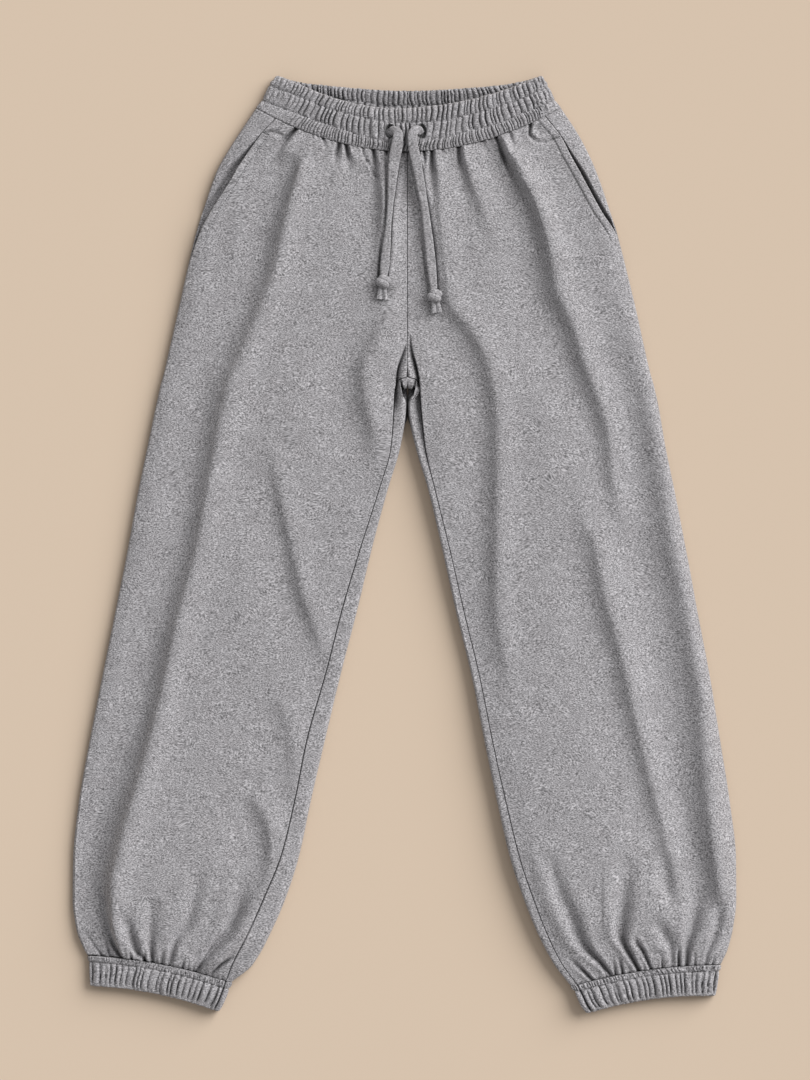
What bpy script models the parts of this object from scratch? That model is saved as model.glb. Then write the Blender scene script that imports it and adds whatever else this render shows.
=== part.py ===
"""Jogger sweatpants, laid flat on their back.

The garment is one skin of points: rows run across it, from the waistband's top edge to the cuffs' hems, and
columns run down it. Each sewn piece takes its own faces of the skin, moves their edges back from the seams,
and grows a wall inwards from them. Tables are in millimetres; MM turns them into metres.

+X is the wearer's left, +Y is towards the waist and +Z is up. The cloth rests on z = 0.
"""

import math

import bpy
from mathutils import Vector

MM = 0.001

# Cloth
WALL = 2.0
BAND_WALL = 3.6
CUFF_WALL = 2.8
SEAM_GAP = 0.4

# From the tables' origin to the origin of the part, in the middle of the laid garment's underside
MIDDLE = (0.15, 1.0, 0.03)

# Section of the laid tube: a fold at each edge, and a top that swells between them.
FOLD_RADIUS = 5.0
OUTER_RUN = 20.0
DIP_RUN = 34.0
CENTRE_X = 3.0

# Columns of the skin
FRONT_COLUMNS = 16
POCKET_COLUMNS = 4
WRAP_COLUMNS = 4
FLOOR_COLUMNS = 5
EDGE_STEPS = (0.0, 0.12, 0.34, 0.64, 1.0)
PLAIN_EDGE = 17.0

# Waistband and hips, from the top edge down. side: where the front folds round to the back. front, back:
# where the row crosses the centre line on top and underneath. crown: height of the top. dip: how far the
# centre lies below it. bow: how far the row is curved. pocket_r, pocket_l: how much of the facing shows.
HIP_COLUMNS = (
    "right_x", "left_x", "side_y", "front_y", "back_y", "crown", "dip", "bow", "pocket_r", "pocket_l",
)
BAND_ROWS = (
    (-138.5, 148.5, 497.5, 459.5, 479.0, 15.5, 0.0, 1.0, 17.0, 17.0),
    (-144.0, 152.5, 485.5, 448.5, 468.0, 17.5, 0.0, 1.0, 17.0, 17.0),
    (-148.5, 157.0, 475.5, 435.5, 455.5, 17.0, 0.0, 1.0, 17.0, 17.0),
    (-152.5, 161.0, 468.5, 425.0, 445.0, 17.5, 0.0, 1.0, 17.0, 17.0),
)
HIP_ROWS = (
    (-157.5, 166.0, 461.5, 415.0, 435.5, 15.5, 0.0, 1.0, 22.0, 17.5),
    (-173.3, 181.8, 437.8, 397.5, 414.5, 17.0, 0.0, 0.9, 19.0, 16.5),
    (-187.0, 193.5, 416.6, 380.5, 396.0, 17.5, 0.0, 0.8, 19.0, 17.5),
    (-198.8, 203.0, 395.4, 363.6, 377.4, 17.5, 0.0, 0.6, 18.5, 16.0),
    (-213.6, 217.8, 353.0, 329.7, 338.1, 17.5, 1.0, 0.4, 9.0, 9.0),
    (-222.0, 226.5, 325.0, 306.5, 312.5, 17.5, 1.0, 0.3, 4.5, 4.0),
    (-232.0, 237.0, 284.0, 273.5, 276.0, 17.5, 1.5, 0.2, 17.0, 17.0),
    (-240.5, 246.0, 246.0, 239.0, 240.0, 18.0, 3.0, 0.1, 17.0, 17.0),
    (-248.5, 253.5, 211.0, 205.5, 203.0, 19.0, 6.5, 0.0, 17.0, 17.0),
)
POCKET_LAST_ROW = 5
TUCKED_COLUMNS = 2

# Each leg from the crotch down. outer: the fold at the side seam. seam: the inseam, on top. edge: the fold at
# the inside of the leg. crown and dip as above, with the dip measured at the inseam. arch: how far the middle
# of the row is bent towards the waist.
LEG_COLUMNS = ("outer_x", "outer_y", "edge_x", "edge_y", "seam_x", "seam_y", "crown", "dip", "arch")
RIGHT_LEG_ROWS = (
    (-256.0, 178.0, 3.0, 164.0, 3.0, 176.0, 19.5, 8.5, 0.0),
    (-258.5, 169.5, -2.3, 161.7, -4.2, 173.3, 19.5, 8.0, 0.0),
    (-260.5, 161.0, -2.1, 155.8, -10.1, 165.9, 19.5, 7.0, 0.0),
    (-262.5, 151.5, 0.3, 147.9, -11.3, 155.8, 19.0, 6.0, 0.0),
    (-265.0, 140.5, 1.0, 139.4, -11.9, 141.0, 19.0, 5.5, 0.0),
    (-272.5, 104.0, -4.2, 102.8, -14.5, 101.8, 18.5, 4.5, 0.0),
    (-282.5, 56.0, -17.0, 59.4, -27.0, 57.2, 18.0, 4.0, 0.0),
    (-294.0, -7.5, -33.9, -3.2, -46.6, -4.2, 18.0, 3.5, 0.0),
    (-307.0, -73.0, -49.3, -67.8, -65.2, -65.7, 17.5, 3.0, 0.0),
    (-321.5, -145.0, -67.3, -137.8, -83.2, -135.7, 17.5, 3.0, 0.0),
    (-335.0, -214.0, -84.3, -208.8, -103.9, -208.8, 18.0, 2.5, 0.0),
    (-346.0, -277.5, -99.1, -272.4, -116.6, -272.4, 19.0, 2.5, 0.0),
    (-351.8, -336.0, -111.8, -331.8, -130.9, -330.7, 20.5, 2.5, 0.0),
    (-352.3, -378.0, -126.7, -378.4, -149.5, -376.3, 21.0, 2.5, 1.0),
    (-348.2, -410.0, -141.5, -412.3, -167.0, -415.5, 20.0, 2.0, 2.5),
    (-340.0, -431.5, -161.5, -448.0, -183.0, -447.0, 17.0, 1.0, 4.5),
)
LEFT_LEG_ROWS = (
    (261.0, 178.0, 3.0, 164.0, 3.0, 176.0, 19.5, 8.5, 0.0),
    (263.5, 169.5, 9.6, 161.7, 11.7, 173.3, 19.5, 8.0, 0.0),
    (265.5, 161.0, 9.3, 155.8, 18.0, 166.4, 19.5, 7.0, 0.0),
    (267.7, 151.5, 6.0, 147.9, 19.1, 155.0, 19.0, 6.0, 0.0),
    (269.8, 140.5, 5.4, 139.4, 19.1, 140.5, 19.0, 5.5, 0.0),
    (276.0, 103.0, 11.7, 101.8, 22.3, 100.5, 18.5, 4.5, 0.0),
    (285.7, 56.0, 24.9, 57.2, 32.5, 55.5, 18.0, 4.0, 0.0),
    (298.3, -7.5, 39.8, -6.4, 48.2, -8.0, 18.0, 3.5, 0.0),
    (310.3, -73.0, 54.1, -71.0, 62.8, -72.0, 17.5, 3.0, 0.0),
    (324.0, -145.0, 71.5, -143.1, 80.0, -144.0, 17.5, 3.0, 0.0),
    (335.5, -214.0, 85.3, -213.1, 94.0, -214.0, 18.0, 2.5, 0.0),
    (345.5, -277.5, 98.6, -276.7, 108.0, -276.7, 19.0, 2.5, 0.0),
    (351.8, -336.0, 112.4, -336.0, 123.0, -337.0, 20.5, 2.5, 0.0),
    (352.0, -378.0, 126.7, -378.4, 137.5, -379.5, 21.0, 2.5, 1.0),
    (348.7, -408.0, 139.4, -410.2, 149.5, -410.5, 20.0, 2.0, 2.5),
    (343.0, -431.0, 157.4, -445.0, 165.5, -444.0, 17.0, 1.0, 4.5),
)
RIGHT_CUFF_ROWS = (
    (-336.0, -438.0, -183.0, -465.5, -189.5, -464.5, 13.5, 0.0, 5.5),
    (-335.5, -447.5, -187.0, -476.0, -193.5, -475.0, 14.5, 0.0, 5.5),
    (-335.0, -459.0, -192.0, -487.0, -198.0, -486.0, 15.0, 0.0, 5.5),
    (-334.0, -470.5, -196.5, -497.5, -202.5, -496.5, 13.0, 0.0, 5.5),
)
LEFT_CUFF_ROWS = (
    (335.5, -447.5, 176.0, -469.5, 183.0, -468.5, 13.5, 0.0, 5.5),
    (334.0, -459.0, 182.0, -480.0, 189.0, -479.0, 14.5, 0.0, 5.5),
    (332.0, -470.5, 187.5, -490.5, 194.0, -489.5, 15.0, 0.0, 5.5),
    (330.2, -481.2, 192.5, -499.5, 199.0, -498.5, 13.0, 0.0, 5.5),
)

# The largest folds of the top. Each is a steep step up towards +X, with a trough on its low side and a crest
# on its high side. Points are x, y and the step's height there.
FOLD_SPREAD = 34.0
FOLD_STEEP = 11.0
FOLDS = {
    "right_main": (
        (-111.0, 417.0, 4.0), (-134.0, 339.0, 5.5), (-161.0, 252.0, 5.5), (-199.0, 154.0, 5.0),
        (-220.0, 49.0, 5.0), (-251.0, -95.0, 5.0), (-299.0, -298.0, 6.0), (-318.0, -375.0, 7.0),
        (-316.0, -422.0, 3.0),
    ),
    "right_thigh": ((-19.0, 252.0, 0.0), (-44.0, 210.0, 3.0), (-56.0, 175.0, 3.5), (-49.0, 132.0, 2.5),
                    (-40.0, 90.0, 0.0)),
    "right_knee": ((-140.0, 70.0, 0.0), (-128.0, 17.0, 3.0), (-117.0, -16.0, 3.5), (-95.0, -103.0, 0.0)),
    "left_inner": ((37.0, 259.0, 0.0), (64.0, 216.0, 3.0), (81.0, 184.0, 4.0), (92.0, 90.0, 3.5),
                   (98.0, 28.0, 3.5), (94.0, -111.0, 0.0)),
    "left_main": ((98.0, 430.0, 6.0), (119.0, 393.0, 7.5), (133.0, 348.0, 7.5), (173.0, 216.0, 6.0),
                  (209.0, 111.0, 5.0), (224.0, 17.0, 0.0)),
    "left_knee": ((184.0, 38.0, 0.0), (203.0, -43.0, 4.0), (243.0, -205.0, 4.5), (284.0, -345.0, 2.0)),
    "left_outer": ((225.0, 216.0, 0.0), (255.0, 111.0, 3.5), (268.0, 6.0, 4.0), (295.0, -158.0, 4.5),
                   (327.0, -344.0, 3.0)),
}

# Drawstring: a flat tube of body cloth. Routes run from the buttonhole to the knot, and then the tail's end.
STRING_WIDTH = 11.0
STRING_THICK = 3.2
STRING_STEPS = 5
KNOT_SIDES = 12
# Ovals of the knot and its tail: distance along, half width, half height
KNOT_OVALS = ((0.0, 2.6, 1.5), (1.2, 5.0, 3.4), (4.0, 6.6, 4.4), (8.0, 6.2, 4.2), (10.6, 4.4, 2.6),
              (12.0, 4.2, 1.6), (18.0, 5.4, 1.7), (29.0, 6.0, 1.5))
RIGHT_STRING = ((-14.5, 438.0, 20.4), (-8.0, 439.0, 20.0), (-5.5, 431.5, 20.2), (-9.0, 414.0, 19.9),
                (-12.0, 399.5, 19.6), (-15.5, 355.0, 19.7), (-19.5, 310.5, 19.5), (-22.0, 285.5, 19.5))
RIGHT_TAIL = (-24.0, 256.0)
LEFT_STRING = ((17.5, 438.0, 20.4), (10.5, 437.0, 20.0), (9.0, 429.0, 20.2), (11.0, 414.0, 19.9),
               (13.0, 399.5, 19.6), (21.5, 355.0, 19.7), (27.0, 310.5, 19.5), (31.0, 271.0, 19.6))
LEFT_TAIL = (34.5, 241.0)
BUTTONHOLE_LONG = 7.0
BUTTONHOLE_WIDE = 4.2
BUTTONHOLE_THREAD = 0.9

MARL = (0.33, 0.33, 0.335)
MARL_DARK = (0.25, 0.25, 0.255)
RIGHT, LEFT = "right", "left"


def lerp(start, end, share):
    return start + (end - start) * share


def smooth(share):
    held = min(max(share, 0.0), 1.0)
    return held * held * (3.0 - 2.0 * held)


def swell(distance, run):
    """Share of the full height that a rounded edge has reached this far from its fold."""
    short = 1.0 - min(distance / run, 1.0)
    return math.sqrt(1.0 - short * short)


def lobe(offset, inner, outer):
    """A soft bump at 0, steep towards negative offsets and spread out towards positive ones."""
    return math.exp(-((offset / (inner if offset < 0.0 else outer)) ** 2))


def nearest_on_fold(line, x, y):
    """Distance across the nearest stretch of a fold's line, positive on its +X side, and its step there."""
    best = None
    for (x0, y0, step0), (x1, y1, step1) in zip(line, line[1:]):
        run_x, run_y = x1 - x0, y1 - y0
        length = math.hypot(run_x, run_y)
        share = ((x - x0) * run_x + (y - y0) * run_y) / length**2
        held = min(max(share, 0.0), 1.0)
        away = math.hypot(x - x0 - held * run_x, y - y0 - held * run_y)
        if best is None or away < best[0]:
            across = ((y - y0) * run_x - (x - x0) * run_y) / length
            beyond = abs(share - held) * length
            best = (away, across, lerp(step0, step1, held) * math.exp(-((beyond / FOLD_STEEP) ** 2)))
    return best[1], best[2]


def fold_height(x, y):
    """Height that the folds add to the top here."""
    total = 0.0
    for line in FOLDS.values():
        across, step = nearest_on_fold(line, x, y)
        crest = lobe(across - FOLD_STEEP, FOLD_STEEP, FOLD_SPREAD)
        trough = lobe(-across - FOLD_STEEP, FOLD_STEEP, FOLD_SPREAD)
        total += 0.5 * step * (crest - trough)
    return total


def row_plan(outer, inner, row, distance):
    """Place in plan on a row, this far from its outer fold."""
    share = distance / math.dist(outer, inner)
    curved = 1.0 - (1.0 - share) ** 2
    x = lerp(outer[0], inner[0], share)
    y = lerp(outer[1], inner[1], lerp(share, curved, row.get("bow", 0.0)))
    return x, y + row.get("arch", 0.0) * 4.0 * share * (1.0 - share)


def top_points(outer, inner, row, pocket, loose):
    """A row's points on top, from the outer fold to the centre seam or the inseam."""
    length = math.dist(outer, inner)
    plain = FRONT_COLUMNS - POCKET_COLUMNS
    distances = [pocket * step for step in EDGE_STEPS]
    distances += [lerp(pocket, length, step / plain) for step in range(1, plain + 1)]
    points = []
    for distance in distances:
        x, y = row_plan(outer, inner, row, distance)
        dipped = row["dip"] * smooth(1.0 - (length - distance) / DIP_RUN)
        level = row["crown"] - dipped + loose * fold_height(x, y)
        points.append((x, y, FOLD_RADIUS + (level - FOLD_RADIUS) * swell(distance, OUTER_RUN)))
    return points


def floor_points(outer, inner, row, side_point):
    """A row's points underneath, from the inner fold or the centre seam, and up round the outer fold."""
    length = math.dist(outer, inner)
    points = []
    for step in range(FLOOR_COLUMNS + 1):
        distance = lerp(length, FOLD_RADIUS, step / FLOOR_COLUMNS)
        points.append((*row_plan(outer, inner, row, distance), 0.0))
    for turn in (30.0, 60.0):
        angle = math.radians(turn)
        distance = FOLD_RADIUS * (1.0 - math.sin(angle))
        points.append((*row_plan(outer, inner, row, distance), FOLD_RADIUS * (1.0 - math.cos(angle))))
    return points + [side_point]


def wrap_points(seam_point, edge):
    """A leg row's points from the inseam on top, round the inner fold, to where the cloth meets the floor."""
    width = math.dist(seam_point[:2], edge)
    inward_x = (seam_point[0] - edge[0]) / width
    inward_y = (seam_point[1] - edge[1]) / width
    points = [seam_point]
    for step in range(1, WRAP_COLUMNS + 1):
        angle = math.pi * (0.5 - step / WRAP_COLUMNS)
        upper = angle > 0.0
        back = (width if upper else FOLD_RADIUS) * (1.0 - math.cos(angle))
        rise = (seam_point[2] - FOLD_RADIUS if upper else FOLD_RADIUS) * math.sin(angle)
        points.append((edge[0] + inward_x * back, edge[1] + inward_y * back, FOLD_RADIUS + rise))
    return points


def hip_row(values, side, loose):
    """The points of half a row above the crotch: its top and its underside."""
    row = dict(zip(HIP_COLUMNS, values))
    outer = (row["right_x"] if side == RIGHT else row["left_x"], row["side_y"])
    pocket = row["pocket_r"] if side == RIGHT else row["pocket_l"]
    top = top_points(outer, (CENTRE_X, row["front_y"]), row, pocket, loose)
    floor = floor_points(outer, (CENTRE_X, row["back_y"]), row, top[0])
    return {"top": top, "floor": floor}


def leg_row(values, loose):
    """The points of a leg's row: its top, the stretch that wraps the inner fold, and its underside."""
    row = dict(zip(LEG_COLUMNS, values))
    outer = (row["outer_x"], row["outer_y"])
    top = top_points(outer, (row["seam_x"], row["seam_y"]), row, PLAIN_EDGE, loose)
    wrap = wrap_points(top[-1], (row["edge_x"], row["edge_y"]))
    floor = floor_points(outer, wrap[-1][:2], row, top[0])
    floor[0] = wrap[-1]
    return {"top": top, "wrap": wrap, "floor": floor}


def between(rows, steps):
    """The rows, with smooth in-between rows added to reach this many steps in each gap."""
    filled = []
    last = len(rows) - 1
    for place, (near, far) in enumerate(zip(rows, rows[1:])):
        before = rows[max(place - 1, 0)]
        after = rows[min(place + 2, last)]
        for step in range(steps):
            share = step / steps
            filled.append(tuple(
                hermite(start, end, (end - earlier) / 2, (later - start) / 2, share)
                for earlier, start, end, later in zip(before, near, far, after)
            ))
    return filled + [rows[-1]]


def hermite(start, end, start_slope, end_slope, share):
    square, cube = share**2, share**3
    return ((2 * cube - 3 * square + 1) * start + (cube - 2 * square + share) * start_slope
            + (3 * square - 2 * cube) * end + (cube - square) * end_slope)


class Skin:
    """The garment's outer surface: welded points, and the corners of each piece's triangles."""

    def __init__(self):
        self.points = []
        self.numbers = {}
        self.triangles = {}

    def number(self, place):
        key = tuple(round(value, 3) for value in place)
        if key not in self.numbers:
            self.numbers[key] = len(self.points)
            self.points.append(Vector(place))
        return self.numbers[key]

    def strip(self, upper, lower, side):
        """The triangles between two rows. Columns of the right half run towards +X on top."""
        found = []
        for column in range(len(upper) - 1):
            corners = [upper[column], lower[column], lower[column + 1], upper[column + 1]]
            numbers = [self.number(corner) for corner in corners]
            if side == LEFT:
                numbers.reverse()
            found.append((numbers[0], numbers[1], numbers[2]))
            found.append((numbers[0], numbers[2], numbers[3]))
        return found

    def give(self, piece, triangles):
        self.triangles.setdefault(piece, []).extend(triangles)

    def normals(self):
        """The outward direction at each point, averaged over all the faces that meet there."""
        sums = [Vector() for _ in self.points]
        for kept in self.triangles.values():
            for a, b, c in kept:
                flat = (self.points[b] - self.points[a]).cross(self.points[c] - self.points[a])
                for corner in (a, b, c):
                    sums[corner] += flat
        return [total.normalized() for total in sums]


def open_edges(triangles):
    """The edges that only one triangle has, in its own direction, each with the triangle's third corner."""
    edges = {}
    for a, b, c in triangles:
        for start, end, third in ((a, b, c), (b, c, a), (c, a, b)):
            edges[(start, end)] = third
    return {edge: third for edge, third in edges.items() if (edge[1], edge[0]) not in edges}


def seam_shifts(skin, triangles):
    """How far each point on a piece's rim moves into the piece, to stay clear of the next piece."""
    ways = {}
    for (start, end), third in open_edges(triangles).items():
        along = (skin.points[end] - skin.points[start]).normalized()
        inward = skin.points[third] - skin.points[start]
        inward = (inward - inward.dot(along) * along).normalized()
        for corner in (start, end):
            ways.setdefault(corner, []).append(inward)
    shifts = {}
    for corner, found in ways.items():
        mean = sum(found, Vector()) / len(found)
        shifts[corner] = mean * (SEAM_GAP / 2 / mean.length_squared)
    return shifts


def make_object(name, points, faces, material, collection):
    mesh = bpy.data.meshes.new(name)
    mesh.from_pydata([tuple(value * MM for value in point) for point in points], [], faces)
    mesh.materials.append(material)
    mesh.shade_smooth()
    mesh.set_sharp_from_angle(angle=math.radians(50.0))
    made = bpy.data.objects.new(name, mesh)
    collection.objects.link(made)
    return made


def wall_piece(name, skin, normals, triangles, wall, sunk, material, collection):
    """A sewn piece: its faces of the skin, sunk into it where asked, and a wall grown inwards from them."""
    shifts = seam_shifts(skin, triangles)
    used = sorted({corner for triangle in triangles for corner in triangle})
    place = {corner: order for order, corner in enumerate(used)}
    outside = [skin.points[corner] + shifts.get(corner, Vector()) - normals[corner] * sunk.get(corner, 0.0)
               for corner in used]
    inside = [point - normals[corner] * wall for corner, point in zip(used, outside)]
    count = len(used)
    faces = []
    for a, b, c in triangles:
        faces.append((place[a], place[b], place[c]))
        faces.append((place[c] + count, place[b] + count, place[a] + count))
    for start, end in open_edges(triangles):
        first, second = place[start], place[end]
        faces.append((second, first, first + count))
        faces.append((second, first + count, second + count))
    return make_object(name, outside + inside, faces, material, collection)


def garment_rows(side):
    """Half the garment's rows, from the waist's top edge to the cuff's hem, each with the zone below it."""
    legs = RIGHT_LEG_ROWS if side == RIGHT else LEFT_LEG_ROWS
    cuffs = RIGHT_CUFF_ROWS if side == RIGHT else LEFT_CUFF_ROWS
    rows = [(hip_row(values, side, 0.0), "band") for values in BAND_ROWS]
    for order, values in enumerate(HIP_ROWS):
        zone = "pocket" if order < POCKET_LAST_ROW else "hip"
        rows.append((hip_row(values, side, min(order / 2, 1.0)), zone))
    rows[-1] = (rows[-1][0], "fork")
    for order, values in enumerate(legs):
        rows.append((leg_row(values, min((len(legs) - order) / 3, 1.0)), "leg"))
    rows += [(leg_row(values, 0.0), "cuff") for values in cuffs]
    return rows


def build_skin():
    """Both halves' faces by piece, each pocket facing's faces, and how far its points lie below the skin."""
    skin = Skin()
    facings = {RIGHT: [], LEFT: []}
    sunk = {}
    for side in (RIGHT, LEFT):
        rows = garment_rows(side)
        for (upper, zone), (lower, _) in zip(rows, rows[1:]):
            front, back = f"front_{side}", f"back_{side}"
            if zone == "band":
                front = back = "waistband"
            if zone == "cuff":
                front = back = f"cuff_{side}"
            first = POCKET_COLUMNS if zone == "pocket" else 0
            skin.give(front, skin.strip(upper["top"][first:], lower["top"][first:], side))
            skin.give(back, skin.strip(upper["floor"], lower["floor"], side))
            if "wrap" in upper:
                skin.give(back, skin.strip(upper["wrap"], lower["wrap"], side))
            if zone == "pocket":
                mouth = skin.strip(upper["top"][:first + 1], lower["top"][:first + 1], side)
                skin.give(f"open_{side}", mouth)
                tucked = first + TUCKED_COLUMNS + 1
                facings[side] += skin.strip(upper["top"][:tucked], lower["top"][:tucked], side)
                for row in (upper["top"], lower["top"]):
                    for column, point in enumerate(row[:tucked]):
                        sunk[skin.number(point)] = (WALL + SEAM_GAP) * min(column / 2, 1.0)
    return skin, facings, sunk


def cloth_material(name, colour):
    material = bpy.data.materials.new(name)
    material.use_nodes = True
    shader = material.node_tree.nodes["Principled BSDF"]
    shader.inputs["Base Color"].default_value = (*colour, 1.0)
    shader.inputs["Roughness"].default_value = 0.95
    shader.inputs["Metallic"].default_value = 0.0
    return material


def make_string(name, route, material, collection):
    """A free end of the drawstring: a flat tube along a smooth route from its buttonhole to its knot."""
    points = between(route, STRING_STEPS)
    curve = bpy.data.curves.new(name, "CURVE")
    curve.dimensions = "3D"
    curve.twist_mode = "Z_UP"
    curve.bevel_depth = STRING_THICK / 2 * MM
    curve.extrude = (STRING_WIDTH - STRING_THICK) / 2 * MM
    curve.bevel_resolution = 1
    curve.use_fill_caps = True
    spline = curve.splines.new("POLY")
    spline.points.add(len(points) - 1)
    for point, place in zip(spline.points, points):
        point.co = (*(value * MM for value in place), 1.0)
        point.tilt = math.pi / 2
    curve.materials.append(material)
    made = bpy.data.objects.new(name, curve)
    collection.objects.link(made)
    return made


def make_knot(name, route, tail, material, collection):
    """The knot that ends a string, and its short flared tail: ovals lofted along a line, level underneath."""
    start = Vector(route[-1])
    ahead = Vector((tail[0] - start.x, tail[1] - start.y, 0.0)).normalized()
    across = Vector((-ahead.y, ahead.x, 0.0))
    ground = start.z - STRING_THICK / 2
    points = []
    for along, half_width, half_height in KNOT_OVALS:
        centre = start + ahead * (SEAM_GAP + along)
        centre.z = ground + half_height
        for turn in range(KNOT_SIDES):
            angle = 2.0 * math.pi * turn / KNOT_SIDES
            points.append(centre + across * half_width * math.cos(angle)
                          + Vector((0.0, 0.0, half_height * math.sin(angle))))
    faces = []
    for oval in range(len(KNOT_OVALS) - 1):
        for turn in range(KNOT_SIDES):
            near, far = oval * KNOT_SIDES + turn, oval * KNOT_SIDES + (turn + 1) % KNOT_SIDES
            faces.append((near, far, far + KNOT_SIDES, near + KNOT_SIDES))
    last = (len(KNOT_OVALS) - 1) * KNOT_SIDES
    faces.append(tuple(KNOT_SIDES - 1 - turn for turn in range(KNOT_SIDES)))
    faces.append(tuple(last + turn for turn in range(KNOT_SIDES)))
    return make_object(name, points, faces, material, collection)


def make_buttonhole(name, place, material, collection):
    """The worked edge of a buttonhole, lying on the waistband where a string comes out."""
    bpy.ops.mesh.primitive_torus_add(
        major_radius=BUTTONHOLE_LONG / 2 * MM,
        minor_radius=BUTTONHOLE_THREAD / 2 * MM,
        major_segments=20,
        minor_segments=6,
    )
    made = bpy.context.object
    for other in tuple(made.users_collection):
        other.objects.unlink(made)
    collection.objects.link(made)
    made.name = made.data.name = name
    for vertex in made.data.vertices:
        vertex.co.x *= BUTTONHOLE_WIDE / BUTTONHOLE_LONG
    made.location = [value * MM for value in place]
    made.data.materials.append(material)
    return made


def clear_scene():
    for old in list(bpy.data.objects):
        bpy.data.objects.remove(old, do_unlink=True)


def centre_on_origin(collection):
    """Hangs every piece on an empty, which puts the origin in the middle of the garment's underside."""
    middle = bpy.data.objects.new("middle", None)
    middle.location = [value * MM for value in MIDDLE]
    for made in list(collection.objects):
        made.parent = middle
    collection.objects.link(middle)


def main():
    clear_scene()
    collection = bpy.data.collections.new("jogger_sweatpants")
    bpy.context.scene.collection.children.link(collection)
    fleece = cloth_material("marl_fleece", MARL)
    band_cloth = cloth_material("marl_band", MARL)
    thread = cloth_material("thread", MARL_DARK)

    skin, facings, sunk = build_skin()
    normals = skin.normals()
    walls = {"waistband": BAND_WALL, f"cuff_{RIGHT}": CUFF_WALL, f"cuff_{LEFT}": CUFF_WALL}
    for name, triangles in skin.triangles.items():
        if not name.startswith("open"):
            material = band_cloth if name in walls else fleece
            wall_piece(name, skin, normals, triangles, walls.get(name, WALL), {}, material, collection)
    for side, triangles in facings.items():
        wall_piece(f"pocket_facing_{side}", skin, normals, triangles, WALL, sunk, fleece, collection)

    for side, route, tail in ((RIGHT, RIGHT_STRING, RIGHT_TAIL), (LEFT, LEFT_STRING, LEFT_TAIL)):
        make_string(f"drawstring_{side}", route, band_cloth, collection)
        make_knot(f"knot_{side}", route, tail, band_cloth, collection)
        hole = (route[0][0], route[0][1], route[0][2] - STRING_THICK / 2 - BUTTONHOLE_THREAD)
        make_buttonhole(f"buttonhole_{side}", hole, thread, collection)
    centre_on_origin(collection)


main()
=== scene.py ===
import math

import bpy
import numpy as np
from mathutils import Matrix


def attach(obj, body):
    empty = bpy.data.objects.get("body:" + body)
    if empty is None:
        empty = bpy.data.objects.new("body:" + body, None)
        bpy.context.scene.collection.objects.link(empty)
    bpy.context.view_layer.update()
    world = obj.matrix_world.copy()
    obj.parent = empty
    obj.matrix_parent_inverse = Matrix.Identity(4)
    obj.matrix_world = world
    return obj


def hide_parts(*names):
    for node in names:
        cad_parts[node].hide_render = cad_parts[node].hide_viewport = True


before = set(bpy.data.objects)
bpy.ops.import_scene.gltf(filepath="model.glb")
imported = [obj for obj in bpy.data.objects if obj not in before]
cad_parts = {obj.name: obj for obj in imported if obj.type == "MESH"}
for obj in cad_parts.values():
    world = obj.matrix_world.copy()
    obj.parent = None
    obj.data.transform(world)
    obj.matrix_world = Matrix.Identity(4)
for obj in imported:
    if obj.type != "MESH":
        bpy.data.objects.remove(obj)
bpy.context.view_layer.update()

# Looks of the jogger sweatpants. The sewn pieces are built again on the form of their solids, from the same
# rows, with the folds, gathers, seams and stitches that cloth has. Tables are in millimetres from a point
# near the garment's middle: MIDDLE is that point's place in the frame, and MM turns them into metres.
# +X is the wearer's left, +Y is towards the waist and +Z is up.

MM = 0.001
MIDDLE = np.array((0.15, 1.0, 0.03))
RIGHT, LEFT = "right", "left"

# Cloth: the walls' thickness, the gaps left at seams, and how far the facing is tucked under its hem
WALL = 2.0
BAND_WALL = 3.6
CUFF_WALL = 2.8
LEAST_WALL = 0.3
SEAM_GAP = 0.3
WAIST_GAP = 0.06
TUCK = 14.0

# Section of the laid tube. From the round fold at its outer edge the top rises over the edge, then over the
# shoulder and last to the crown, each by its rise within its run. The dip lies near the inner seam.
FOLD_RADIUS = 5.0
UNDER_REACH = 3.2
EDGE_RISE = 4.5
EDGE_RUN = 1.7
EDGE_START = EDGE_RUN * (1.0 - math.sqrt(1.0 - (SEAM_GAP / EDGE_RISE) ** 2))
SHOULDER_RISE = 4.2
SHOULDER_RUN = 20.0
CROWN_RUN = 90.0
DIP_RUN = 22.0
CENTRE_X = 3.0

# The relief grows to its full height within this distance from the outer fold
OUTER_RUN = 20.0

# The inner fold of a leg: the power that shapes its section, and another where it runs downwards, as on the
# tongue. At the fork, above its lip, its underside is drawn in to one line.
EDGE_BLUNT = 0.32
TONGUE_BLUNT = 0.6
TONGUE_DOWNWARD = 0.7
TONGUE_BLEND = 0.25
FORK_X = 3.4
LIP_LOW = 122.0
LIP_RUN = 12.0

# The photograph's frame: millimetres a pixel, its height, and the point that its middle shows
PICTURE_SCALE = 1.06
PICTURE_HIGH = 1080
PICTURE_CENTRE = (0.53, 3.18)
CAMERA_HIGH = 8.0
CLOTH_HIGH = 15.0
SENSOR = 24.0

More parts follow.
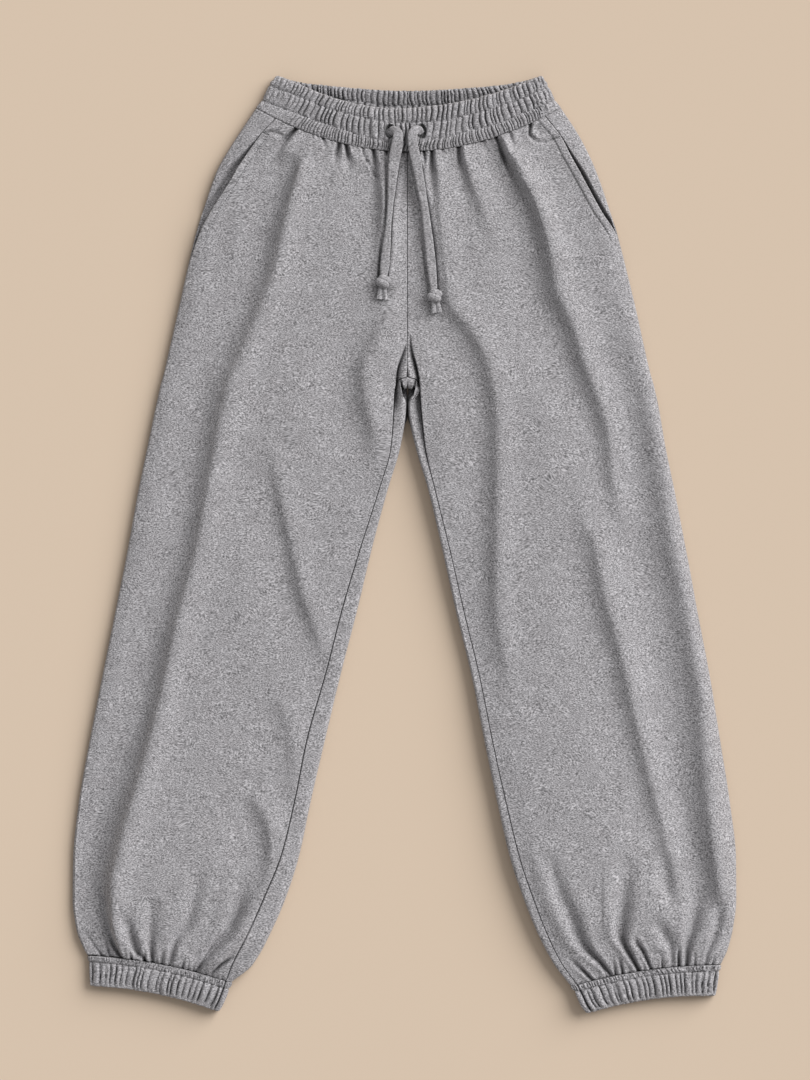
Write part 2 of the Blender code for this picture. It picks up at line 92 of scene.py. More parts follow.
# Waistband and hips, from the top edge down, as in the CAD. side: where the front folds round to the back.
# front, back: where the row crosses the centre line. crown: height of the top. dip: how far the centre lies
# below it. bow: how far the row is curved. right_pocket, left_pocket: how much of the facing shows.
HIP_COLUMNS = (
    "right_x", "left_x", "side_y", "front_y", "back_y", "crown", "dip", "bow", "right_pocket", "left_pocket",
)
BAND_ROWS = (
    (-138.5, 148.5, 497.5, 459.5, 479, 15.5, 0, 1, 0, 0),
    (-144, 152.5, 485.5, 448.5, 468, 17.5, 0, 1, 0, 0),
    (-148.5, 157, 475.5, 435.5, 455.5, 17, 0, 1, 0, 0),
    (-152.5, 161, 468.5, 425, 445, 17.5, 0, 1, 0, 0),
)
HIP_ROWS = (
    (-157.5, 166, 461.5, 415, 435.5, 15.5, 0, 1, 22, 17.6),
    (-173.3, 181.8, 437.8, 397.5, 414.5, 17, 0, 0.9, 19, 16.3),
    (-187, 193.5, 416.6, 380.5, 396, 17.5, 0, 0.8, 18.8, 17.5),
    (-198.8, 203, 395.4, 363.6, 377.4, 17.5, 0, 0.6, 18.3, 16),
    (-213.6, 217.8, 353, 329.7, 338.1, 17.5, 0.5, 0.4, 8.8, 9),
    (-222, 226.5, 325, 306.5, 312.5, 17.5, 0.5, 0.3, 3.4, 1),
    (-232, 237, 284, 273.5, 276, 17.5, 1, 0.2, 0, 0),
    (-240.5, 246, 246, 239, 240, 18, 1.2, 0.1, 0, 0),
    (-248.5, 253.5, 211, 205.5, 203, 18.5, 1.2, 0, 0, 0),
)

# Each leg from the crotch down, and its cuff. outer: the fold at the side seam. edge: the fold at the
# inside of the leg. seam: the inseam, on top. crown and dip as above. arch: how far the middle of the row is
# bent towards the waist.
LEG_COLUMNS = ("outer_x", "outer_y", "edge_x", "edge_y", "seam_x", "seam_y", "crown", "dip", "arch")
LEG_ROWS = {
    RIGHT: (
        (-256, 178, 3, 163.8, 3, 176.2, 19, 1, 0),
        (-258.5, 169.5, -2.3, 163, -4.6, 173.6, 19, 1, 0),
        (-260.5, 161, -0.4, 157, -9.6, 166.4, 19, 1, 0),
        (-262.5, 151.5, 1.9, 147.3, -11.1, 155.8, 19, 1, 0),
        (-265, 140.5, 1.6, 139.6, -11.7, 141, 19, 1, 0),
        (-272.5, 104, -4.2, 102.8, -14.5, 101.8, 18.5, 1.8, 0),
        (-282.5, 56, -17, 59.4, -27, 57.2, 18, 1.4, 0),
        (-294, -7.5, -33.9, -3.2, -46.6, -4.2, 18, 1.2, 0),
        (-307, -73, -49.3, -67.8, -65.2, -65.7, 17.5, 1.2, 0),
        (-321.5, -145, -67.3, -137.8, -83.2, -135.7, 17.5, 1.2, 0),
        (-335, -214, -84.3, -208.8, -103.9, -208.8, 18, 1.2, 0),
        (-346, -277.5, -99.1, -272.4, -116.6, -272.4, 19, 1.2, 0),
        (-351.8, -336, -111.8, -331.8, -130.9, -330.7, 20.5, 1.2, 0),
        (-352.3, -378, -126.7, -378.4, -149.5, -376.3, 21, 1.2, 1),
        (-348.2, -410, -141.5, -412.3, -167, -415.5, 20, 1.2, 2.5),
        (-340, -431.5, -161.5, -448, -183, -447, 17, 1, 4.5),
    ),
    LEFT: (
        (261, 178, 3, 163.8, 3, 176.2, 19, 1, 0),
        (263.5, 169.5, 8.7, 163, 11.9, 173.4, 19, 1, 0),
        (265.5, 161, 7, 157, 16.4, 166.4, 19, 1, 0),
        (267.7, 151.5, 3.7, 147.3, 17, 155, 19, 1, 0),
        (269.8, 140.5, 3.9, 139.6, 18, 140.5, 19, 1, 0),
        (276, 103, 11.7, 101.8, 22.3, 100.5, 18.5, 1.8, 0),
        (285.7, 56, 24.9, 57.2, 32.5, 55.5, 18, 1.4, 0),
        (298.3, -7.5, 39.8, -6.4, 48.2, -8, 18, 1.2, 0),
        (310.3, -73, 54.1, -71, 62.8, -72, 17.5, 1.2, 0),
        (324, -145, 71.5, -143.1, 80, -144, 17.5, 1.2, 0),
        (335.5, -214, 85.3, -213.1, 94, -214, 18, 1.2, 0),
        (345.5, -277.5, 98.6, -276.7, 108, -276.7, 19, 1.6, 0),
        (351.8, -336, 112.4, -336, 123, -337, 20.5, 2.6, 0),
        (352, -378, 126.7, -378.4, 137.5, -379.5, 21, 3.4, 1),
        (348.7, -408, 139.4, -410.2, 149.5, -410.5, 20, 3.4, 2.5),
        (343, -431, 157.4, -445, 165.5, -444, 17, 2.4, 4.5),
    ),
}
CUFF_ROWS = {
    RIGHT: (
        (-336, -438, -183, -465.5, -189.5, -464.5, 13.5, 0, 5.5),
        (-335.5, -447.5, -187, -476, -193.5, -475, 14.5, 0, 5.5),
        (-335, -459, -192, -487, -198, -486, 15, 0, 5.5),
        (-334, -470.5, -196.5, -497.5, -202.5, -496.5, 13, 0, 5.5),
    ),
    LEFT: (
        (335.5, -447.5, 176, -469.5, 183, -468.5, 13.5, 0, 5.5),
        (334, -459, 182, -480, 189, -479, 14.5, 0, 5.5),
        (332, -470.5, 187.5, -490.5, 194, -489.5, 15, 0, 5.5),
        (330.2, -481.2, 192.5, -499.5, 199, -498.5, 13, 0, 5.5),
    ),
}

# Long folds of the top: each is a steep step up towards +X, spread out gently on both sides, and leaning so
# that its crest is sharper than its foot. A row is a point of the line, x and y, with the step's height and
# half the width of its steep flank there. The other leg's folds, mirrored, lift the underside by a share of
# their height.
FOLD_SPREAD = 24.0
FOLD_LEAN = 0.3
FOLD_STRENGTH = 1.5
UNDER_SHARE = 0.3
UNDER_HALF = 9.0
UNDER_WAVE = 0.3
END_FADE = 6.0
LINE_STEP = 6.0
FOLDS = {
    "right_main": (
        (-111, 411, 0.5, 5), (-114, 401, 5.5, 5.5), (-119, 387, 8.5, 6.5), (-124.5, 371, 9.5, 7.5),
        (-132, 348, 9.8, 10), (-147, 288, 8.5, 12.3), (-164, 242, 7.7, 12.3), (-179, 206, 7.7, 12.3),
        (-196, 162, 7.7, 12.3), (-211, 83, 7.7, 11), (-227, -3, 7.7, 11), (-249, -86, 8.5, 11),
        (-270, -182, 9.5, 11), (-285, -235, 10.3, 12.3), (-300, -282, 11, 13.7), (-311, -324, 12.1, 13.7),
        (-318, -361, 12.1, 12.3), (-313, -414, 8.5, 8.2), (-302, -438, 3.5, 5.5),
    ),
    "right_pocket_side": (
        (-174, 369, 0, 9.9), (-181, 348, 1.6, 9.9), (-188, 300, 1.6, 9.9), (-193, 258, 0, 9.9),
    ),
    "right_string_side": (
        (-32, 402, 1, 5), (-30, 385, 4.6, 6), (-27, 358, 6, 7), (-26, 331, 5, 7), (-23, 295, 3, 8),
        (-20, 268, 1.5, 8),
    ),
    "left_string_side": (
        (4, 414, 3, 4), (6, 396, 5.5, 5), (10, 374, 5.5, 6), (14, 350, 3, 6), (17, 325, 0, 6),
    ),
    "right_thigh": (
        (-15, 262, 0.9, 10.3), (-38, 215, 4.6, 11.5), (-51, 182, 5.9, 11.5), (-51, 160, 5.9, 12.6),
        (-44, 129, 4.6, 12.6), (-35, 89, 2.2, 12.6), (-29, 46, 0, 12.6),
    ),
    "right_knee": (
        (-147, 109, 0, 8), (-143, 83, 1.6, 8), (-137, 50, 3.4, 8), (-129, 17, 4.2, 8), (-114, -53, 4.4, 8),
        (-101, -89, 3.6, 8), (-91, -120, 1.6, 9.2), (-79, -156, 0, 9.2),
    ),
    "right_shin": (
        (-145, -156, 0, 10.8), (-137, -176, 1.9, 10.8), (-125, -212, 2.4, 10.8), (-123, -271, 1.6, 10.8),
        (-121, -304, 0, 10.8),
    ),
    "right_calf": (
        (-166, -262, 0, 8.8), (-161, -279, 3, 8.8), (-149, -305, 4.5, 8.8), (-147, -324, 4.5, 8.8),
        (-154, -359, 3.8, 9.9), (-167, -384, 3.8, 7.7), (-184, -407, 5.2, 6.6), (-204, -431, 5.2, 4.4),
        (-216, -443, 3, 3.3),
    ),
    "left_inner": (
        (28, 419, 2.8, 6.2), (30, 395, 4, 7.5), (34, 321, 3.9, 8.8), (41, 255, 4.7, 10),
        (64, 222, 5.4, 11.2), (81, 189, 6.1, 11.2), (88, 156, 6.1, 11.2), (91, 116, 6.1, 11.2),
        (91, 66, 6.1, 11.2), (90, -10, 5.7, 11.2), (90, -63, 5.4, 11.2), (96, -109, 4, 11.2),
        (103, -151, 1.3, 12.5), (111, -182, 0, 12.5),
    ),
    "left_gather": (
        (59, 414, 4.8, 4.4), (65, 385, 4.8, 6.6), (75, 358, 3.4, 8.8), (85, 328, 1.4, 9.9),
        (94, 298, 0, 9.9),
    ),
    "left_main": (
        (98, 426, 5.8, 3), (104.5, 414, 8.2, 3.2), (118, 391, 9.6, 3.6), (132, 365, 10.2, 5.4),
        (146, 315, 9.8, 9), (153, 268, 9.1, 12.1), (170, 229, 8.5, 12.1), (186, 182, 7.8, 10.8),
        (199, 149, 7.2, 10.8), (210, 109, 6.7, 10.8), (214, 67, 4.8, 10.8), (222, 33, 2.4, 12.1),
        (229, -7, 0, 12.1),
    ),
    "left_knee": (
        (175, 77, 0, 11.7), (185, 17, 2.3, 10.4), (195, -3, 4.1, 10.4), (204, -53, 5.1, 10.4),
        (221, -112, 5.7, 10.4), (234, -169, 5.7, 10.4), (244, -212, 5.7, 10.4), (257, -262, 5.7, 10.4),
        (268, -304, 5.1, 10.4), (280, -354, 3.4, 10.4), (290, -384, 0, 10.4),
    ),
    "left_outer": (
        (219, 268, 0, 19), (235, 202, 4, 19), (246, 162, 6.3, 19), (254, 123, 7.2, 19), (265, 67, 8, 19),
        (272, -6, 8, 19), (285, -56, 8, 19), (295, -116, 8.6, 19), (303, -169, 8.6, 18),
        (307, -229, 8.6, 16), (312, -279, 9.6, 14.5), (319, -328, 10.3, 12.5), (325, -361, 8, 10.6),
        (330, -391, 4, 9.1), (328, -410, 1.6, 7.6),
    ),
}

# Short creases where the cloth is gathered into the band and the cuffs. A row is a point of the line, x and
# y, with the trough's depth and half its width there.
CREASE_STRENGTH = 1.9
CREASE_PUFF = 0.16
CREASE_SHIFT = 0.4
CREASES = {
    "right_waist": (
        ((-115, 439.5, 3.4, 1.8), (-121, 433.5, 3.6, 2.4), (-129, 424, 2.8, 3.4), (-138, 410, 0.6, 5),
         (-146, 398, 0, 5)),
        ((-152, 433, 0, 1.6), (-143, 436, 1.5, 1.8), (-134, 434.5, 1.3, 2.2), (-128, 430, 0.5, 2.6)),
        ((-86.5, 430.5, 1.8, 1.4), (-85, 424, 0.6, 1.8)),
        ((-70, 420, 3.2, 2), (-72.5, 411, 1.8, 2.4), (-75, 402, 0, 3.2)),
        ((-61.5, 420, 3.4, 1.8), (-60, 412, 3.2, 2.2), (-58.5, 403, 1.4, 4), (-57.5, 390, 0, 5.5)),
        ((-44, 415.5, 0.8, 1.4), (-42, 408, 1, 1.6), (-39, 412, 0.3, 1.6)),
        ((-33, 417, 3.2, 1.8), (-31.5, 405, 3, 2.6), (-30.5, 392, 1.8, 3.6), (-29, 380, 0.6, 4.5),
         (-26, 364, 0, 5)),
        ((-19, 416, 1.6, 1.8), (-17, 406, 0, 2.4)),
    ),
    "left_waist": (
        ((20.5, 414, 2, 1.3), (21, 405.5, 0.8, 1.6)),
        ((29, 415, 3.2, 1.8), (29, 402, 2.8, 2.4), (30, 386, 1.6, 4), (31, 364, 0, 5)),
        ((40.5, 420.5, 1.8, 1.4), (40.5, 413, 0.3, 1.8)),
        ((58, 420, 3.2, 2.8), (58.5, 409, 2.8, 2.4), (62, 396, 1.6, 4.5), (67, 380, 0.5, 6),
         (71, 362, 0, 7)),
        ((83, 426, 1.2, 2), (85.5, 419, 0.6, 2.8), (87, 412, 0, 3)),
        ((97, 431, 4.4, 1.8), (101.5, 423.5, 5.2, 2.2), (105, 414, 4.8, 2.6), (111, 404, 3.2, 3.4),
         (119, 392, 1.2, 5), (126, 381, 0, 6)),
        ((101.5, 429.5, 1.6, 1.4), (103, 424, 0.4, 1.6)),
        ((112, 432, 1.8, 2), (115, 422, 0.8, 2.6), (117, 415, 0, 3)),
        ((133, 441.5, 3, 1.6), (132, 434.5, 2.6, 1.6), (136, 428.5, 1.4, 2), (143.5, 425, 0.8, 2.2),
         (154, 426, 0.8, 2), (160.5, 430, 0.3, 1.8)),
        ((136, 443, 0.6, 3.5), (144, 437, 1, 4), (151, 432.5, 0.4, 4)),
    ),
    "right_cuff": (
        ((-320, -378, 0.8, 7), (-317.5, -400, 2, 5.5), (-312, -415, 3.2, 3.8), (-307, -429, 3.2, 2.4),
         (-301.5, -438, 2.6, 1.6)),
        ((-323, -410, 0, 2.4), (-316.5, -426, 1.4, 1.8), (-314, -435, 1.6, 1.4)),
        ((-346, -405, 0, 3), (-339, -415.5, 0.8, 2.6), (-330, -429, 1.2, 2), (-323, -437, 1.2, 1.6)),
        ((-297.5, -392, 0.6, 6), (-291, -410, 2.4, 5), (-287, -424, 3.4, 3.8), (-282.5, -434.5, 3.2, 2.6),
         (-277, -441, 1.8, 1.6)),
        ((-264.5, -384, 1.2, 7), (-267.5, -410, 2, 5.5), (-268.5, -426, 2.6, 3.6), (-267.5, -440, 2.8, 2)),
        ((-217, -346.5, 0.6, 8), (-222, -384, 1.8, 7), (-229.5, -405, 2.6, 6), (-242, -421, 2.8, 4.4),
         (-246.5, -437, 2.6, 2.6), (-248.5, -444.5, 2.2, 1.8)),
        ((-169, -368, 1, 8), (-174.5, -389, 2.8, 7), (-183, -410, 4.2, 5.6), (-195.5, -426, 4.6, 4.4),
         (-204, -434.5, 4.6, 3.2), (-213.5, -445, 3.6, 2.2), (-219, -452, 2.4, 1.6)),
        ((-180, -437.5, 0, 2), (-186, -441.5, 2.6, 1.8), (-193.5, -446.5, 3.4, 1.8),
         (-201, -453.5, 2.8, 1.5)),
        ((-275, -428, 0, 2), (-275.5, -441, 1.6, 1.3)),
        ((-256, -431, 0, 2), (-257, -443, 1.4, 1.3)),
        ((-233, -437, 0, 1.8), (-235, -449, 1.8, 1.3)),
        ((-292, -430, 0, 1.6), (-290, -440, 1.6, 1.2)),
    ),
    "left_cuff": (
        ((156.5, -336, 1, 8), (165, -368, 2.2, 7.5), (177.5, -394, 3.2, 7), (188, -421, 4.2, 5.2),
         (196.5, -433.5, 4.2, 3.6), (207, -444, 3.6, 2.6), (215.5, -454.5, 3, 1.8)),
        ((175, -441, 0, 2.4), (182, -447.5, 1.6, 2.2), (188, -452.5, 2.6, 1.8), (196.5, -461, 2.6, 1.5)),
        ((239, -341, 1.4, 9.5), (235, -368, 3.2, 9), (232.5, -394, 4.2, 7.5), (230.5, -415.5, 4.8, 4.8),
         (233.5, -426, 4.6, 3.2), (239, -436.5, 4.2, 2.4), (247.5, -452, 3.2, 1.8)),
        ((279, -325, 0, 8), (280, -347, 2, 8), (281, -368, 2, 7), (281, -385, 0, 6)),
        ((243.5, -418, 0, 3), (247.5, -425.5, 2.4, 2.4), (252, -431.5, 3, 2), (260, -449, 2.6, 1.5)),
        ((268.5, -399.5, 0.4, 7), (277, -415.5, 2.2, 6), (283.5, -430, 1.8, 4.4), (284, -442, 1.4, 2)),
        ((226, -438, 0, 2), (229, -446, 1.6, 1.5), (231.5, -456.5, 1.8, 1.3)),
        ((292.5, -428, 0, 2), (290.5, -436.5, 2.2, 1.6), (291, -447, 2.4, 1.4)),
        ((317, -372, 1, 7.5), (313, -384, 2.8, 7), (309, -399.5, 4.2, 6), (305, -415.5, 4.2, 5),
         (300.5, -431.5, 3.4, 3.2), (299.5, -446, 3, 1.8)),
        ((338, -378, 0.6, 6), (336, -392, 2.4, 5.4), (333, -408, 2.6, 4.4), (327, -424, 2.2, 3.2),
         (321.5, -436, 2, 2.2), (319.5, -446, 1.8, 1.6)),
        ((220, -437, 0, 1.8), (223.5, -456, 1.6, 1.3)),
        ((272, -433, 0, 2), (273, -448, 1.6, 1.3)),
        ((307, -431, 0, 2), (308, -446, 1.6, 1.3)),
        ((329, -432, 0, 2), (327, -446, 1.4, 1.3)),
        ((209, -446, 0, 1.6), (213, -457, 1.4, 1.2)),
    ),
}

# The hollow at the crotch: the line down which the front drops into it, and lower down the inseam, under
# which the back's stretch lies lower than the front. A row is x and y, the depth below the front there, and
# how far in from the wall the narrow part of the hollow reaches.
HOLLOW_FALL = 1.2
HOLLOW_WIDE = 2.7
HOLLOWS = {
    "right": (
        (1.4, 217, 0, 2), (0.4, 211, 2, 2), (-1.6, 204.6, 5.5, 2.2), (-4.6, 196.1, 9, 2.3),
        (-7.6, 187, 11, 2), (-9, 179, 12.5, 1.7), (-9.6, 172, 13, 1.5), (-9.9, 165.4, 13, 1.6),
        (-10.9, 156, 11, 2.2), (-11.6, 141, 5, 3.4), (-12.8, 122, 1, 3), (-14.5, 102, 0, 3),
    ),
    "left": (
        (6.6, 224, 0, 2), (7.2, 217, 2, 2.2), (8.2, 209, 4.5, 2.6), (10.2, 199.3, 7.5, 2.8),
        (12.6, 191, 10, 2.6), (14.6, 182, 11.5, 2.2), (16, 174, 12, 1.8), (16.5, 165.6, 12, 1.8),
        (17, 155, 12, 4.4), (18, 140.5, 9.5, 6.4), (20.2, 120, 6, 6.4), (22.5, 100, 3, 5),
        (27.2, 77, 0.8, 3.6), (32.5, 55.5, 0, 3),
    ),
}

# Creases of the small tongue between the legs, as above.
TONGUE = (
    ((-4.2, 173.2, 1, 0.7), (-3, 168.5, 2.4, 0.75), (-1.6, 162, 2.4, 0.8)),
    ((11.8, 173.2, 1, 0.7), (10.4, 168.5, 2.4, 0.75), (8.8, 162, 2.4, 0.8)),
    ((3, 172, 0, 0.7), (3, 168, 0.3, 0.7), (3, 163.2, 0.5, 0.8)),
)

# Drawstrings. The route runs from the buttonhole to the knot, and then to the tail's end, as in the CAD. A
# row of the widths is a share of the route's length, and the width and thickness there.
STRINGS = {
    RIGHT: {
        "route": (
            (-15.5, 434.5, 16.5), (-11.5, 437.5, 22), (-7, 433.5, 23.6), (-8, 422, 23.2),
            (-11.5, 399.5, 21.6), (-15.3, 355, 20.4), (-19.3, 310.5, 20), (-22.2, 281.5, 19.8),
        ),
        "tail": (-24.0, 257.8),
        "widths": (
            (0, 8, 3.2), (0.1, 10.5, 3), (0.2, 12.4, 2.8), (0.32, 10.6, 3), (0.44, 8.4, 3.4),
            (0.56, 6.2, 4), (0.68, 6.4, 4), (0.82, 9, 3.2), (0.92, 9.6, 3), (1, 7.4, 3.4),
        ),
    },
    LEFT: {
        "route": (
            (17.5, 434.5, 16.5), (14, 438, 22), (9, 434, 24), (9, 422, 24.4), (13.5, 399.5, 23.4),
            (21.3, 355, 21.2), (26.8, 310.5, 20), (31.4, 266.5, 19.9),
        ),
        "tail": (34.3, 243.6),
        "widths": (
            (0, 8, 3.2), (0.1, 10.4, 3), (0.2, 10.8, 3), (0.35, 9.4, 3.2), (0.5, 8.2, 3.4),
            (0.65, 8.8, 3.2), (0.8, 9.6, 3), (0.92, 8.8, 3), (1, 7, 3.4),
        ),
    },
}
STRING_THICK = 3.2
STRING_ROWS = 150
STRING_SIDES = 28
STRING_CREASE = 0.3
TAIL_WIDTHS = ((0.0, 7.0), (0.3, 9.2), (0.8, 11.2), (1.0, 11.6))
TAIL_THICKS = ((0.0, 4.4), (0.4, 3.6), (1.0, 3.2))
TAIL_START = 8.4
TAIL_CREASE = 1.5
KNOT_SIZE = (7.3, 6.5, 4.6)
KNOT_AHEAD = 4.8
KNOT_REST = 4.3

# The cloth is pressed down in a bed under each drawstring, from the route's fifth point on, and puffed up
# in banks beside it
LANDING = 4
BED_DEPTH = 2.2
BED_SHIFT = 1.3
BED_PAST = 2.2
BED_SLOPE = 2.0
BANK_RISE = 0.9
BANK_PAST = 4.5
BANK_HALF = 2.6

# Small pleats at the gathered seams: reach, depth, pitch and seed. Those of the waist die out at the sides.
WAIST_PLEATS = (15.0, 2.2, 7.5, 91)
CUFF_PLEATS = (13.0, 2.2, 6.5, 95)
PLEATED_X = 4.0
PLEATED_HALF = 128.0
PLEATED_FADE = 30.0
PLEAT_SPAN = 800.0
RIDGE_FLATNESS = 3.4

# Unevenness of the lying cloth: height, wavelength and seed
UNEVENNESS = ((0.35, 60.0, 11), (0.14, 17.0, 12))
RIPPLE_WAVES = 7

# Columns of points across a front, the band and a cuff: round the outer fold, between, and near the seam;
# and how far from the seam those near it begin
FRONT_GRID = (20, 126, 40, 26.0)
BAND_GRID = (26, 230, 40, 20.0)
CUFF_GRID = (20, 130, 20, 12.0)
SEAM_CROWDING = 1.5

# Columns of points underneath, and round a leg's inner fold above and below; and turns up the outer fold
FLOOR_COLUMNS = {"back": 56, "band": 160, "cuff": 130}
WRAP_COLUMNS = 24
UNDER_COLUMNS = 9
BACK_TURNS = np.linspace(0.0, math.pi / 2.0, 8)[1:]
RING_TURNS = np.linspace(0.0, math.pi / 2.0, 9)[1:-1]
FACING_COLUMNS = 60
BAND_ROW_COUNT = 44
CUFF_ROW_COUNT = 36

# Seams: the cloth's edge is turned down into them. At the fork the seam is deeper, and the cloth falls into
# it. The back's edge is turned in under the front's.
SEAM_ROLL = 1.0
SEAM_DEPTH = 1.9
WAIST_SEAM = 0.6
LEG_END_SEAM = 0.7
FORK_Y = 176.0
FORK_SEAM = 0.8
FORK_SEAM_HALF = 10.0
FORK_ARC = 2.4
FORK_ARC_HALF = (7.0, 1.4)
SEAM_TURN = (3.0, 2.0, 1.0, 0.0)
SEAM_TUCK = 0.3
TUCK_CLEAR = 0.4

# The pocket: its turned hem with a line of stitches and a bartack, how far the hem is lifted where the
# mouth is open, and the facing, which lies below the hem by the sink at least. gape: depth, width and
# steepness of the facing's fall where the mouth is open.
HEM_WIDE = 8.0
HEM_RAISED = 0.8
HEM_STEP = 0.8
HEM_FURROW = 0.8
HEM_ROLL = 1.2
HEM_STITCHED = 7.3
POCKET_END = 318.0
POCKET_SINK = 2.7
POCKET_FALL = 0.8
POCKET_GAPE = {RIGHT: (12.0, 12.5, 0.9), LEFT: (8.0, 5.5, 0.8)}
POCKET_LIFT = {RIGHT: 3.2, LEFT: 0.6}
POCKET_LIFT_RUN = 18.0
POCKET_FLOOR = 4.4
MOUTH_SHOWN = 7.0
MOUTH_START = 22.0
MOUTH_RUN = 62.0
BARTACK_Y = {RIGHT: 432.5, LEFT: 431.0}
BARTACK_RAISED = 0.3
BARTACK_WIDE = 3.4
BARTACK_PITCH = 1.2
BARTACK_GAP = 0.1
STITCH_PITCH = 3.2
STITCH_GAP = 0.9
STITCH_RADIUS = 0.4

# The waistband's two lines of stitches: x, and then how far down the band each of them lies
BAND_STITCHES = (
    (-150, 0.31, 0.74), (-112, 0.31, 0.67), (-76, 0.34, 0.67), (-41, 0.37, 0.74), (-17, 0.42, 0.8),
    (17, 0.39, 0.72), (46, 0.41, 0.76), (70, 0.38, 0.68), (96, 0.36, 0.72), (124, 0.37, 0.69),
    (155, 0.34, 0.73),
)
BAND_PITCHES = (4.9, 5.8, 3.3)
BAND_DEPTHS = (6.0, 7.0, 4.2)
BAND_SEED = 51
BAND_INSIDE_SEED = 61
BAND_LAST_ROLL = 1.22
BAND_ROLL = 1.7

# Its ribs are shallower at the sides: x where they are shallowest, and over what distance they grow
SIDE_RIBS = 0.25
RIGHT_RIBS = (-150.0, 48.0)
LEFT_RIBS = (170.0, 30.0)

# How far the waistband's open edge lies beyond the rows: x, and then the front's and the back's distance.
# Its corners are rounded.
OPENING = (
    (-139, 0.5, 0.5), (-111, 2.8, -1.6), (-80, 2.2, 0.2), (-40, 1.8, 1.2), (3, 2.6, 1.2), (40, 3.8, 1.2),
    (60, 4, 0.8), (90, 3.4, -0.6), (112, 2.6, -1.6), (130, 1.4, -1.4), (149, 0.5, 0.5),
)
CORNER_MIDDLE = 5.0
CORNER_OUT = 138.5
CORNER_RUN = 5.0
BACK_LIFT = 5.0
BACK_REACH = 140.0
BACK_RUN = 50.0
SCALLOP = 1.1
PUFF = 1.5
PUFF_BLUNT = 0.6
STITCH_FURROW = 0.7
FURROW_HALF = 0.75
UNDER_RIBS = 0.25
WALL_ROLL = 1.8

# Cuffs: one line of stitches, and the seam where the ring's two ends meet
CUFF_STITCH = 0.2
CUFF_HEM = 0.2
CUFF_PITCHES = (3.0, 6.4)
CUFF_DEPTHS = (3.4, 7.0)
CUFF_SEAM = 2.0
CUFF_SEAM_HALF = 0.9
CUFF_ROLL = 1.3
CUFF_FIRST_ROLL = -0.12
CUFF_SEEDS = {RIGHT: 71, LEFT: 81}

# Buttonholes: the hole's place, and the ring of threads round it
HOLE_PLACES = {RIGHT: (-15.5, 436.5), LEFT: (18.0, 436.5)}
HOLE_WIDE = 5.6
HOLE_DEPTH = 6.0
HOLE_SQUASH = 0.7
HOLE_SLOPE = 1.6
HOLE_CALM = 7.0
HOLE_THREADS = 44
HOLE_RING = (3.6, 5.4)
HOLE_REACHES = (0.9, 1.35)
HOLE_THREAD = 1.4 * STITCH_RADIUS
HOLE_THREAD_SUNK = 0.4

# Looks: tones from 0 to 1, and ramps of a place and a tone or colour. Scales are for each metre, and the
# reach and the push are in metres.
CLOTH_TONE = 0.335
BAND_TONE = 0.33
STRING_CONTRAST = 0.85
THREAD_TONE = 0.13
MARL_RAMP = ((0.28, 0.38), (0.42, 0.77), (0.56, 1.09), (0.74, 1.72))
CLOUD_RAMP = ((0.3, (0.955, 0.92, 0.95)), (0.7, (1.06, 1.03, 1.065)))
# Painted shade: the cloth's colour is multiplied by this ramp of ambient occlusion, so it is darkest in
# narrow crevices and beside other cloth, looked for within this reach
PAINTED_CREVICE_SHADE_RAMP = ((0.0, 0.12), (0.3, 0.5), (0.6, 0.93), (0.8, 1.0))
PAINTED_CREVICE_SHADE_REACH = 0.014
CURL_SCALE = 28.0
CURL_PUSH = (0.022, 0.022, 0.008)
STRAND_SCALE = 1000.0
STRAND_STRETCH = (0.55, 1.0, 0.75)
CLOUD_SCALE = 60.0
FLOOR_COLOUR = (0.66, 0.53, 0.41, 1.0)
FLOOR_SIZE = 60.0

# Light: a soft lamp from the upper right, and even light all round
LAMP_POWER = 3.75
LAMP_SPREAD = 50.0
LAMP_TILT = (-32.0, 52.0, 0.0)
SKY_POWER = 0.4


# Small mathematics

def lerp(start, end, share):
    return start + (end - start) * share


def smooth(share):
    """An S-curve from 0 to 1."""
    held = np.clip(share, 0.0, 1.0)
    return held * held * (3.0 - 2.0 * held)


def swell(distance, run):
    """Share of the full height that a rounded edge has reached this far from its fold."""
    short = 1.0 - np.clip(distance / run, 0.0, 1.0)
    return np.sqrt(1.0 - short * short)


def edge_roll(distance, radius):
    """How far a rounded edge has curved away from its flat face, this far in from the edge."""
    return radius * (1.0 - swell(distance, radius))


def hump(offset, half):
    """A soft bump, 1 in its middle and near 0 past twice its half width."""
    return np.exp(-((offset / half) ** 2))


def puffed(within):
    """A blunt arch from 0 to 0, 1 in its middle."""
    return np.clip(4.0 * within * (1.0 - within), 0.0, 1.0) ** PUFF_BLUNT


def blunted(values, power):
    """The power of the values' sizes, with their signs."""
    return np.sign(values) * np.abs(values) ** power


def unit(vectors):
    return vectors / np.maximum(np.linalg.norm(vectors, axis=-1, keepdims=True), 1e-9)


def round_turns(count):
    return np.arange(count) * 2.0 * math.pi / count


def numbered(shape, first=0):
    """A grid of running numbers."""
    return first + np.arange(math.prod(shape)).reshape(shape)


def hermite(share, near, far, leaving, arriving):
    """A smooth step from near to far, with its slopes at both ends."""
    square, cube = share**2, share**3
    return ((2 * cube - 3 * square + 1) * near + (cube - 2 * square + share) * leaving
            + (3 * square - 2 * cube) * far + (cube - square) * arriving)


